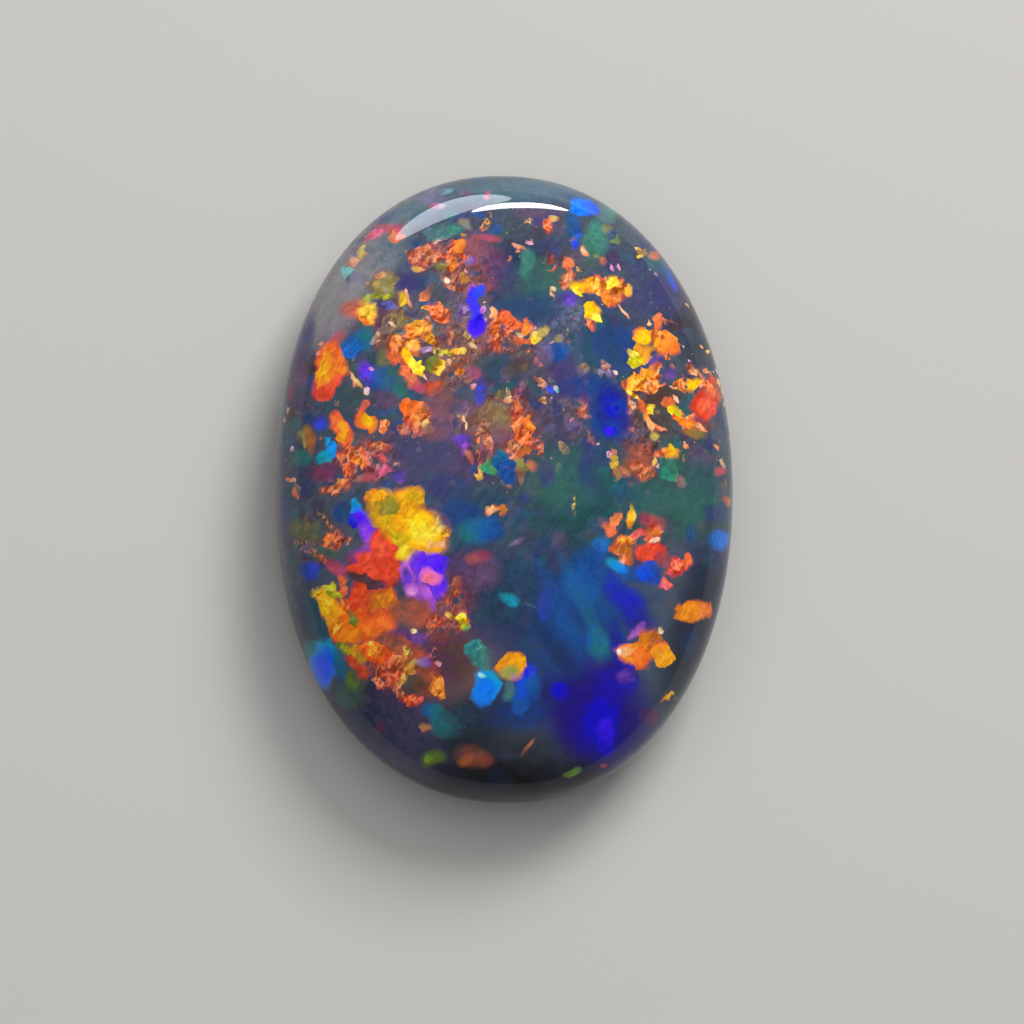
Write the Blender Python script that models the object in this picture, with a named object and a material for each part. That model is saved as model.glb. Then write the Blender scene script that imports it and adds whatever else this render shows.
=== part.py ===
"""A black opal, cut and polished as one oval stone: a low dome above, a rounded back with a small flat spot below.

Metres, +Z up. The origin is the middle of the flat spot that the stone rests on. +Y runs along the stone's
length and +X across it.
"""

import math

import bmesh
import bpy
from mathutils import Vector

MM = 0.001

# Overall size
LENGTH = 11.1 * MM
WIDTH = 8.0 * MM
HEIGHT = 3.1 * MM

# Outline seen from above. A power of 2 is an ellipse, and a higher one has fuller shoulders.
# The stone is fuller on its left side, at -X, than on its right.
MEAN_SHOULDER_POWER = 2.16
LEFT_FULLNESS = 0.05

# Side view. The girdle is the widest line, between the dome and the back.
GIRDLE_HEIGHT = 1.2 * MM
DOME_POWER = 2.25
BACK_POWER = 1.75
BACK_INSET = 1.9 * MM

# Fineness of the faceted surface
SEGMENTS = 88
DOME_RINGS = 21
BACK_RINGS = 9

# Finish: a dark blue-grey body under a glossy polish
BODY_COLOUR = (0.045, 0.06, 0.11, 1.0)
POLISH_ROUGHNESS = 0.06
SMOOTH_UP_TO = math.radians(40)


def outline_point(turn):
    """The point of the widest oval at this ellipse angle, in radians anticlockwise from +X."""
    half_width, half_length = WIDTH / 2, LENGTH / 2
    power = MEAN_SHOULDER_POWER - LEFT_FULLNESS * math.cos(turn)
    x, y = half_width * math.cos(turn), half_length * math.sin(turn)
    stretch = abs(x / half_width) ** power + abs(y / half_length) ** power
    return Vector((x, y)) * stretch ** (-1 / power)


def outline_normal(turn):
    """The outward direction of the widest oval at this ellipse angle."""
    step = math.pi / 720
    along = outline_point(turn + step) - outline_point(turn - step)
    return Vector((along.y, -along.x)).normalized()


def dome_ring(share_up):
    """(size, height) of one level ring of the dome; share_up runs from 0 at the girdle to 1 at the top."""
    angle = share_up * math.pi / 2
    size = math.cos(angle) ** (2 / DOME_POWER)
    rise = math.sin(angle) ** (2 / DOME_POWER)
    return size, GIRDLE_HEIGHT + (HEIGHT - GIRDLE_HEIGHT) * rise


def back_ring(share_down):
    """(inset, height) of one level ring of the back; share_down runs from 0 at the girdle to 1 at the flat spot."""
    angle = share_down * math.pi / 2
    inset = BACK_INSET * (1 - math.cos(angle) ** (2 / BACK_POWER))
    drop = math.sin(angle) ** (2 / BACK_POWER)
    return inset, GIRDLE_HEIGHT * (1 - drop)


def add_ring(mesh, place):
    """Adds a closed ring of SEGMENTS edges, with each corner where place(turn) puts it, and returns its edges."""
    made = bmesh.ops.create_circle(mesh, cap_ends=False, segments=SEGMENTS, radius=1.0)
    corners = made["verts"]
    for corner in corners:
        turn = math.atan2(corner.co.y, corner.co.x)
        corner.co = place(turn)
    return list({edge for corner in corners for edge in corner.link_edges})


def dome_place(size, height):
    """Where a dome ring's corners go: the outline shrunk towards the middle."""
    return lambda turn: (outline_point(turn) * size).to_3d() + Vector((0, 0, height))


def back_place(inset, height):
    """Where a back ring's corners go: the outline moved straight inwards by the same amount all round."""
    return lambda turn: (outline_point(turn) - outline_normal(turn) * inset).to_3d() + Vector((0, 0, height))


def cabochon_mesh():
    """The stone's surface, from the flat spot up round the girdle to the top of the dome."""
    mesh = bmesh.new()
    rings = []
    for i in range(BACK_RINGS, 0, -1):
        rings.append(add_ring(mesh, back_place(*back_ring(i / BACK_RINGS))))
    for i in range(DOME_RINGS):
        rings.append(add_ring(mesh, dome_place(*dome_ring(i / DOME_RINGS))))
    for lower, upper in zip(rings, rings[1:]):
        bmesh.ops.bridge_loops(mesh, edges=lower + upper)
    bmesh.ops.contextual_create(mesh, geom=rings[0])
    crown = bmesh.ops.contextual_create(mesh, geom=rings[-1])["faces"]
    bmesh.ops.poke(mesh, faces=crown)
    top = max(mesh.verts, key=lambda corner: corner.co.z)
    top.co = (0, 0, HEIGHT)
    bmesh.ops.recalc_face_normals(mesh, faces=mesh.faces)
    finished = bpy.data.meshes.new("black_opal")
    mesh.to_mesh(finished)
    mesh.free()
    return finished


def polished_opal():
    """The plain finish of the solid: dark, blue-grey and glossy."""
    material = bpy.data.materials.new("polished_opal")
    material.use_nodes = True
    surface = material.node_tree.nodes["Principled BSDF"]
    surface.inputs["Base Color"].default_value = BODY_COLOUR
    surface.inputs["Roughness"].default_value = POLISH_ROUGHNESS
    surface.inputs["Metallic"].default_value = 0.0
    return material


def make_black_opal():
    """The whole stone as one object, shaded smooth apart from the edge of its flat spot."""
    mesh = cabochon_mesh()
    mesh.materials.append(polished_opal())
    mesh.shade_smooth()
    mesh.set_sharp_from_angle(angle=SMOOTH_UP_TO)
    stone = bpy.data.objects.new("black_opal", mesh)
    bpy.context.scene.collection.objects.link(stone)
    return stone


def main():
    """Clears the scene and makes the stone."""
    for old in list(bpy.data.objects):
        bpy.data.objects.remove(old)
    make_black_opal()


main()
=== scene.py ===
"""A black opal cabochon as it looks: a polished dark stone with flakes of fire in it, on a pale floor."""

import logging
import math
from dataclasses import dataclass
from enum import Enum
from typing import Any, Callable, NamedTuple

import bpy
from mathutils import Matrix, Quaternion, Vector
from mathutils.bvhtree import BVHTree


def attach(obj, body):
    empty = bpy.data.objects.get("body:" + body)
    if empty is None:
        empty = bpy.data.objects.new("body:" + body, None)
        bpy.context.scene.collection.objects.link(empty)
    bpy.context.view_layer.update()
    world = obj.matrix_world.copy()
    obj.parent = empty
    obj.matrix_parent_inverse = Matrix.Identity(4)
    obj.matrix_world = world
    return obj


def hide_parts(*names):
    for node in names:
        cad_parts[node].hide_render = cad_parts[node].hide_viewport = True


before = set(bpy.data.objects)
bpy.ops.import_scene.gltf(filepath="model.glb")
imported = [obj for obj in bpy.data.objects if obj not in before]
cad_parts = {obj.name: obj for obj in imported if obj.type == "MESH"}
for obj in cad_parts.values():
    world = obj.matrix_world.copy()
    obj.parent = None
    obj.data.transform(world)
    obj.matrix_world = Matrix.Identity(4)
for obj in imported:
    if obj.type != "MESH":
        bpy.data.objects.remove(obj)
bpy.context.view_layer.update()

MM = 0.001

# Pixels along each side of the main picture
PICTURE_SIZE = 1024
# The most that bending and snapping push a flake's edge outwards, in pixels
MOST_BEND = 12.0

log = logging.getLogger("black_opal")


class Fire(Enum):
    """The colours of the stone's fire and ground, and of the painted shade at its rim, named and mixed for
    it, as sRGB numbers.
    """

    EMBER = 0xD7411E
    SCARLET = 0xF05037
    CORAL = 0xF56E41
    FLAME = 0xF57832
    BLAZE = 0xF56914
    TANGERINE = 0xFF9628
    MARIGOLD = 0xE68712
    GOLD = 0xFFB40F
    MUSTARD = 0xD2AA14
    YELLOW = 0xFFD70A
    LEMON = 0xFFF046
    LIME = 0xBEC819
    FERN = 0x648214
    OLIVE = 0x78783C
    KHAKI = 0xA09650
    STRAW = 0xDCBE5A
    AMBER = 0xBE6E19
    RUST = 0xBE5A37
    BROWN = 0x7D5041
    UMBER = 0x503A32
    SALMON = 0xDC8255
    PEACH = 0xF5BE91
    # Painted glints: the pale cream of the tiny bright dots laid as small flakes
    GLINT_CREAM = 0xFFE6C8
    BRICK = 0xAA5550
    ROSE = 0xC84B6E
    WINE = 0x8C2D50
    PINK = 0xFF78A0
    BLUSH = 0xE6AAD2
    LEAF = 0x64A050
    EMERALD = 0x1E9673
    LAGOON = 0x468C7D
    JADE = 0x37695A
    MOSS = 0x46504B
    SEA = 0x2D505F
    TEAL = 0x1E7378
    CYAN = 0x78D2C8
    ICE = 0xB4F5FF
    TURQUOISE = 0x00A5C8
    AZURE = 0x1482FA
    SKY = 0x195AA0
    COBALT = 0x123F88
    DENIM = 0x2A466B
    ROYAL = 0x3246DC
    ULTRAMARINE = 0x0F05D2
    SAPPHIRE = 0x0050FF
    ELECTRIC = 0x4614FF
    INDIGO = 0x383870
    VIOLET = 0x7332E6
    PURPLE = 0x7D46AA
    ORCHID = 0xC864DC
    PERIWINKLE = 0x6E78D7
    LILAC = 0x8C78AA
    MAUVE = 0x735073
    PLUM = 0x552D50
    STEEL = 0x526D7C
    SLATE = 0x4B5564
    DUSK = 0x464669
    NIGHT = 0x1E2D4B
    HAZE = 0x8C898C
    ASH = 0x6E6E7D
    DEEP_TEAL = 0x234C54
    DEEP_GREEN = 0x235550
    NAVY = 0x1C2C54
    INK = 0x20107C
    MIDNIGHT = 0x1A1D30
    # Painted shade: the near-black of the dome's lower edge and the dark grey of its right rim, where the
    # stone turns away from the light
    PAINTED_SHADE_BLACK = 0x140F0C
    PAINTED_SHADE_GREY = 0x2C3039
    POTCH = 0x241F1D

    def colour(self) -> tuple[float, float, float, float]:
        """Turns the sRGB number into the colour that a socket takes.

        Returns:
            Linear red, green and blue, with full alpha.
        """
        shares = [(self.value >> shift & 255) / 255 for shift in (16, 8, 0)]
        linear = [s / 12.92 if s <= 0.04045 else ((s + 0.055) / 1.055) ** 2.4 for s in shares]
        return linear[0], linear[1], linear[2], 1.0


class Edge(Enum):
    """How a patch of fire ends: the shares of its size at which it is still full, and at which it is gone."""

    SOFT = (0.25, 1.45)
    CRISP = (0.76, 1.12)
    SMOOTH = (0.80, 1.10)
    RAGGED = (0.70, 1.15)
    WISP = (0.45, 1.25)
    CALM = (0.72, 1.16)


# Colours of the faint mosaic in the ground
FACET_COLOURS = [
    Fire.SEA,
    Fire.COBALT,
    Fire.MAUVE,
    Fire.SLATE,
    Fire.JADE,
    Fire.INDIGO,
    Fire.UMBER,
    Fire.SKY,
    Fire.PLUM,
    Fire.TEAL,
    Fire.DUSK,
]
# Colours of the few cells of fire in the dull stone below the girdle
POTCH_COLOURS = [Fire.COBALT, Fire.JADE, Fire.RUST, Fire.INDIGO, Fire.AMBER, Fire.TEAL]
# Colours of the fine crumbs between the flakes
SPARK_COLOURS = [Fire.RUST, Fire.PEACH, Fire.FLAME, Fire.SALMON, Fire.STRAW, Fire.BLUSH, Fire.AMBER]

# How strongly a flake takes the painted light and painted shade of the foil's folds
GLOW = {
    Edge.SOFT: 0.1,
    Edge.CRISP: 0.35,
    Edge.SMOOTH: 0.3,
    Edge.RAGGED: 1.0,
    Edge.WISP: 0.4,
    Edge.CALM: 0.06,
}
# The reddish shading at the rim of a warm flake, as a multiple of its glow
WARM_RIM = 3
# The bent or broken place that a flake is read at, where its size doesn't decide it
PLACES = {Edge.SOFT: "Drift", Edge.SMOOTH: "Eased", Edge.CALM: "Eased", Edge.WISP: "Warped"}
# The pattern that a flake's cover is broken up by
BROKEN_BY = {Edge.RAGGED: "Breaks", Edge.WISP: "Wisps"}


class Flake(NamedTuple):
    """One patch of fire. Its place is a point of the main picture, in pixels across and down.

    length and width are half sizes in pixels, and turn is in degrees, anticlockwise from rightwards.
    The colour runs from near, at the tail of its length, to far, at the head.
    """

    across: float
    down: float
    length: float
    width: float
    turn: float
    near: Fire
    far: Fire
    edge: Edge = Edge.CRISP
    strength: float = 1.0

    def warm(self) -> bool:
        """Whether its colour has more red than blue."""
        return self.near.value >> 16 > self.near.value & 255

    def reach(self) -> tuple[float, float]:
        """How far the flake can reach from its place.

        Returns:
            The most pixels sideways, and the most up or down.
        """
        turn, far = math.radians(self.turn), self.edge.value[1]
        aside = math.hypot(self.length * math.cos(turn), self.width * math.sin(turn))
        upward = math.hypot(self.length * math.sin(turn), self.width * math.cos(turn))
        return aside * far + MOST_BEND, upward * far + MOST_BEND


F, S, C, M, R, W, K = Fire, Edge.SOFT, Edge.CRISP, Edge.SMOOTH, Edge.RAGGED, Edge.WISP, Edge.CALM

GROUND = [
    Flake(520, 188, 90, 20, 0, F.STEEL, F.STEEL, S, 0.9),
    Flake(345, 285, 62, 34, 60, F.HAZE, F.HAZE, S),
    Flake(400, 215, 40, 22, 35, F.HAZE, F.HAZE, S, 0.9),
    Flake(460, 290, 60, 45, 0, F.ASH, F.DUSK, S, 0.8),
    Flake(520, 275, 34, 34, 0, F.NAVY, F.DEEP_TEAL, S, 0.9),
    Flake(600, 355, 50, 44, 0, F.DENIM, F.DENIM, S, 0.9),
    Flake(500, 378, 44, 28, 0, F.DENIM, F.DEEP_TEAL, S, 0.8),
    # Painted shade on the upper right rim
    Flake(695, 320, 60, 24, -65, F.PAINTED_SHADE_GREY, F.PAINTED_SHADE_GREY, S, 0.9),
    Flake(440, 450, 50, 42, 0, F.DUSK, F.MAUVE, S, 0.9),
    Flake(590, 500, 80, 52, 0, F.DEEP_TEAL, F.DEEP_GREEN, S),
    Flake(702, 495, 42, 34, 80, F.DEEP_GREEN, F.JADE, S, 0.9),
    Flake(478, 520, 40, 30, 0, F.DENIM, F.SEA, S, 0.9),
    Flake(470, 600, 60, 48, 0, F.NAVY, F.DUSK, S, 0.9),
    Flake(560, 610, 60, 56, 0, F.NAVY, F.NAVY, S),
    Flake(505, 600, 26, 20, 0, F.DEEP_TEAL, F.SEA, S, 0.8),
    Flake(600, 715, 66, 46, -70, F.INK, F.INK, S),
    Flake(540, 690, 40, 34, 0, F.NAVY, F.INK, S, 0.9),
    Flake(450, 722, 50, 30, 0, F.DEEP_TEAL, F.MIDNIGHT, S, 0.9),
    Flake(385, 715, 50, 32, -35, F.MIDNIGHT, F.PLUM, S, 0.9),
    Flake(430, 665, 50, 34, 0, F.PLUM, F.BROWN, S, 0.8),
    Flake(298, 590, 70, 20, 85, F.MIDNIGHT, F.SLATE, S, 0.9),
    # Painted shade on the lower right rim
    Flake(700, 630, 80, 28, 72, F.PAINTED_SHADE_GREY, F.PAINTED_SHADE_GREY, S),
    # Painted shade: a near-black band along the lower edge of the dome
    Flake(500, 756, 90, 24, 0, F.PAINTED_SHADE_BLACK, F.PAINTED_SHADE_GREY, S, 0.75),
    Flake(500, 786, 120, 24, 0, F.PAINTED_SHADE_BLACK, F.PAINTED_SHADE_BLACK, S),
    Flake(640, 755, 60, 20, 48, F.PAINTED_SHADE_BLACK, F.PAINTED_SHADE_BLACK, S, 0.9),
    Flake(360, 742, 60, 22, -50, F.PAINTED_SHADE_BLACK, F.MIDNIGHT, S, 0.9),
]

WEBS = [
    Flake(465, 268, 42, 30, 0, F.BROWN, F.RUST, R, 0.5),
    Flake(400, 330, 28, 30, 0, F.BROWN, F.KHAKI, R, 0.5),
    Flake(455, 365, 36, 46, 0, F.BROWN, F.AMBER, R, 0.35),
    Flake(510, 345, 34, 36, 0, F.BRICK, F.BROWN, R, 0.4),
    Flake(500, 430, 40, 36, 0, F.BROWN, F.RUST, R, 0.45),
    Flake(450, 405, 26, 40, 0, F.SALMON, F.KHAKI, W, 0.3),
    Flake(465, 330, 30, 50, 0, F.RUST, F.PEACH, W, 0.2),
    Flake(560, 325, 30, 36, 0, F.SLATE, F.LILAC, R, 0.35),
    Flake(572, 400, 34, 40, 0, F.MAUVE, F.BROWN, R, 0.45),
    Flake(365, 462, 34, 24, 0, F.BRICK, F.BROWN, R, 0.6),
    Flake(640, 420, 26, 36, 0, F.BROWN, F.UMBER, R, 0.6),
    Flake(562, 268, 28, 20, 0, F.BROWN, F.UMBER, R, 0.25),
    Flake(445, 610, 26, 38, -20, F.BROWN, F.RUST, R, 0.6),
    Flake(318, 540, 24, 26, 0, F.BROWN, F.MOSS, R, 0.5),
]

TOP_LEFT = [
    Flake(338, 298, 46, 24, 62, F.HAZE, F.HAZE, S, 0.9),
    Flake(385, 255, 26, 16, 40, F.HAZE, F.STEEL, S, 0.7),
    Flake(425, 205, 34, 15, 28, F.STEEL, F.STEEL, S, 0.7),
    Flake(530, 190, 48, 12, 0, F.STEEL, F.STEEL, S, 0.8),
    Flake(413, 284, 13, 10, 0, F.INDIGO, F.INDIGO, S, 0.9),
    Flake(305, 327, 13, 9, 60, F.INDIGO, F.DUSK, S, 0.6),
    Flake(440, 195, 17, 7, 12, F.LILAC, F.DUSK, S, 0.6),
    Flake(446, 191, 8, 3, 15, F.STEEL, F.CYAN, S, 0.6),
    Flake(488, 195, 6, 3.5, 70, F.PINK, F.ROSE, C, 0.55),
    Flake(436, 206, 8, 4, 10, F.ROSE, F.BLUSH, S, 0.6),
    Flake(388, 227, 15, 5, -8, F.BRICK, F.ROSE, S, 0.8),
    Flake(375, 233, 11, 4.5, 36, F.ROSE, F.PINK, C, 0.85),
    Flake(397, 234, 9, 7.5, -40, F.SALMON, F.CORAL, C, 0.85),
    Flake(354, 253, 8, 4, 60, F.LILAC, F.MAUVE, S, 0.8),
    Flake(362, 254, 10, 4.5, 62, F.KHAKI, F.STRAW, C, 0.9),
    Flake(351, 263, 6, 4, 30, F.SALMON, F.PEACH, C, 0.85),
    Flake(346, 274, 8, 5.5, -65, F.CYAN, F.STEEL, C, 0.9),
    Flake(360, 278, 8, 6, 0, F.LILAC, F.STEEL, S, 0.5),
    Flake(387, 287, 17, 12, -48, F.KHAKI, F.OLIVE, C, 0.85),
    Flake(381, 275, 5, 4, 0, F.SALMON, F.PEACH, C, 0.75),
    Flake(381, 297, 12, 3.5, 3, F.FERN, F.LIME, C, 0.8),
    Flake(368, 299, 8, 4, 30, F.LIME, F.KHAKI, C, 0.8),
    Flake(355, 309, 13, 10, 0, F.BRICK, F.CORAL, S, 0.85),
    Flake(367, 313, 12, 11, 55, F.FLAME, F.LEMON, M),
    Flake(366, 315, 7, 6, 55, F.GOLD, F.LEMON, R),
    Flake(386, 305, 9, 4.5, 0, F.INDIGO, F.PERIWINKLE, C, 0.85),
    Flake(404, 300, 5.5, 8, 0, F.MUSTARD, F.YELLOW, C, 0.9),
    Flake(409, 298, 9, 2.2, -72, F.PEACH, F.SALMON, C, 0.9),
    Flake(412, 313, 7, 6, 0, F.INDIGO, F.DUSK, S, 0.8),
    Flake(392, 321, 17, 8, 0, F.BROWN, F.KHAKI, W, 0.9),
    Flake(393, 324, 3.5, 2.2, -30, F.GLINT_CREAM, F.PEACH),
]

TOP_MIDDLE = [
    Flake(535, 285, 30, 22, 0, F.SEA, F.JADE, S, 0.8),
    Flake(528, 309, 30, 14, 0, F.DENIM, F.DENIM, S, 0.9),
    Flake(503, 275, 22, 15, -60, F.INDIGO, F.DUSK, S, 0.7),
    Flake(473, 250, 14, 16, 0, F.BRICK, F.MAUVE, S, 0.5),
    Flake(433, 283, 12, 10, 0, F.DENIM, F.STEEL, S, 0.8),
    Flake(441, 294, 13, 8, 0, F.MOSS, F.DUSK, S, 0.8),
    Flake(440, 232, 24, 9, 10, F.STEEL, F.LAGOON, C, 0.75),
    Flake(455, 231, 9, 6, 0, F.LAGOON, F.LAGOON, C, 0.8),
    Flake(425, 257, 19, 13, 10, F.RUST, F.SALMON, R, 0.85),
    Flake(456, 246, 8, 9, 0, F.FLAME, F.TANGERINE, C, 0.85),
    Flake(452, 258, 11, 13, 0, F.RUST, F.FLAME, R, 0.9),
    Flake(452, 266, 9, 3, 88, F.TANGERINE, F.AMBER, C, 0.85),
    Flake(440, 267, 7, 5, -30, F.LEAF, F.OLIVE, C, 0.7),
    Flake(418, 269, 7, 3, -20, F.STRAW, F.SALMON, C, 0.8),
    Flake(465, 279, 7, 5.5, 0, F.AMBER, F.STRAW, C, 0.75),
    Flake(452, 284, 12, 9, 0, F.RUST, F.BROWN, R, 0.85),
    Flake(447, 283, 3, 3, 0, F.GLINT_CREAM, F.GLINT_CREAM),
    Flake(486, 222, 10, 4, 70, F.TANGERINE, F.STRAW, W, 0.95),
    Flake(487, 238, 13, 3.5, 0, F.BRICK, F.ROSE, S, 0.7),
    Flake(466, 225, 8, 4, -40, F.KHAKI, F.HAZE, S, 0.7),
    Flake(469, 262, 5, 4, 0, F.LILAC, F.PURPLE, S, 0.9),
    Flake(474, 306, 21, 6.5, 92, F.ROYAL, F.ELECTRIC, K, 0.95),
    Flake(479, 292, 8, 5, 90, F.ROYAL, F.SAPPHIRE, K, 0.85),
    Flake(478, 325, 13, 10, 70, F.ELECTRIC, F.ULTRAMARINE, K, 0.95),
    Flake(483, 311, 4, 2.5, 60, F.ORCHID, F.BLUSH, C, 0.9),
    Flake(462, 308, 9, 8, 0, F.PURPLE, F.LILAC, R, 0.8),
    Flake(438, 310, 14, 9, -20, F.FLAME, F.CORAL, R),
    Flake(492, 313, 5, 4.5, 0, F.PEACH, F.TANGERINE, C, 0.95),
    Flake(498, 332, 21, 7, 82, F.RUST, F.FLAME, R, 0.95),
    Flake(513, 321, 12, 6, -28, F.CORAL, F.FLAME, C, 0.95),
    Flake(526, 327, 6, 7, 0, F.FLAME, F.TANGERINE, C, 0.9),
    Flake(510, 332, 13, 4, 85, F.SALMON, F.CORAL, R, 0.9),
    Flake(521, 341, 9, 5, 0, F.RUST, F.CORAL, C, 0.9),
    Flake(520, 333, 4, 3, 0, F.KHAKI, F.GLINT_CREAM, C, 0.85),
    Flake(503, 352, 9, 3, -5, F.SALMON, F.BRICK, W, 0.9),
    Flake(535, 337, 8, 4.5, 80, F.YELLOW, F.STRAW),
    Flake(542, 331, 7, 4.5, 60, F.KHAKI, F.STRAW, S, 0.8),
    Flake(526, 265, 14, 6, 85, F.JADE, F.LAGOON, S, 0.9),
    Flake(518, 248, 8, 2.5, -25, F.PEACH, F.SALMON, C, 0.75),
    Flake(509, 258, 8, 3, 70, F.BROWN, F.SALMON, W, 0.9),
]

TOP_RIGHT = [
    Flake(645, 296, 24, 18, 0, F.DUSK, F.INDIGO, S, 0.7),
    Flake(605, 345, 32, 20, 0, F.DENIM, F.COBALT, S, 0.8),
    Flake(668, 290, 24, 13, -65, F.INDIGO, F.DUSK, S, 0.8),
    Flake(606, 212, 11, 10, 0, F.STEEL, F.LAGOON, S, 0.8),
    Flake(595, 241, 19, 12, 80, F.JADE, F.LAGOON, S),
    Flake(616, 238, 8, 7, 0, F.OLIVE, F.LEAF, C, 0.75),
    Flake(608, 229, 6, 5, 0, F.KHAKI, F.OLIVE, S, 0.6),
    Flake(583, 207, 15, 10, -5, F.AZURE, F.SAPPHIRE, K),
    Flake(588, 211, 9, 5, 0, F.AZURE, F.ROYAL, S, 0.7),
    Flake(572, 228, 15, 7, 85, F.DENIM, F.SKY, S, 0.9),
    Flake(576, 238, 11, 4.5, 82, F.ROYAL, F.SKY, C, 0.9),
    Flake(549, 226, 9, 5.5, 80, F.CORAL, F.FLAME, R, 0.95),
    Flake(551, 218, 5, 3.5, 0, F.TANGERINE, F.STRAW, C, 0.7),
    Flake(528, 222, 6, 3.5, 40, F.PEACH, F.KHAKI, W),
    Flake(585, 250, 7, 2.5, -60, F.PEACH, F.SALMON, C, 0.95),
    Flake(603, 261, 4, 3.5, -60, F.SALMON, F.BRICK, S, 0.8),
    Flake(613, 267, 4, 1.6, -62, F.BLUSH, F.ORCHID, C, 0.9),
    Flake(620, 268, 4, 1.6, -62, F.BLUSH, F.BLUSH, C, 0.9),
    Flake(551, 264, 6, 5.5, 0, F.RUST, F.SALMON, R, 0.9),
    Flake(569, 265, 6, 5.5, 60, F.FLAME, F.SALMON, C, 0.9),
    Flake(566, 278, 11, 5, 75, F.RUST, F.SALMON, R, 0.85),
    Flake(594, 279, 8, 4, 0, F.EMBER, F.CORAL, C, 0.85),
    Flake(600, 289, 9, 8, 0, F.FLAME, F.RUST, R, 0.95),
    Flake(590, 285, 13, 7, 5, F.GOLD, F.TANGERINE, R),
    Flake(582, 286, 13, 6, -12, F.YELLOW, F.TANGERINE),
    Flake(577, 292, 7, 2.5, -45, F.LEMON, F.YELLOW),
    Flake(614, 291, 17, 10, -8, F.AMBER, F.RUST, C, 0.95),
    Flake(621, 290, 9, 7, -20, F.AMBER, F.MARIGOLD, R, 0.95),
    Flake(607, 298, 7, 10, 0, F.FLAME, F.TANGERINE),
    Flake(611, 283, 9, 7, 50, F.LEMON, F.GOLD),
    Flake(628, 291, 5.5, 4, 60, F.GOLD, F.STRAW, C, 0.9),
    Flake(616, 302, 8, 4, 30, F.FLAME, F.AMBER, R, 0.9),
    Flake(625, 312, 10, 1.8, -52, F.PEACH, F.SALMON, C, 0.95),
    Flake(589, 310, 11, 6.5, -35, F.GOLD, F.YELLOW),
    Flake(597, 318, 5, 4, -45, F.LEMON, F.LEMON, C, 0.95),
    Flake(588, 324, 6.5, 5, -30, F.RUST, F.FLAME, R, 0.95),
    Flake(555, 289, 4, 3, 0, F.STRAW, F.GLINT_CREAM, C, 0.85),
    Flake(553, 297, 7, 2.5, -70, F.PEACH, F.MAUVE, W),
    Flake(566, 299, 9, 7, 0, F.INDIGO, F.VIOLET, S, 0.7),
    Flake(643, 253, 6, 5.5, 60, F.OLIVE, F.AMBER, C, 0.75),
    Flake(642, 258, 4, 2, 0, F.LEMON, F.STRAW, C, 0.85),
    Flake(655, 256, 4.5, 4, 0, F.SALMON, F.RUST, S, 0.8),
    Flake(671, 279, 13, 4, -62, F.SKY, F.ROYAL, S, 0.85),
]

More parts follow.
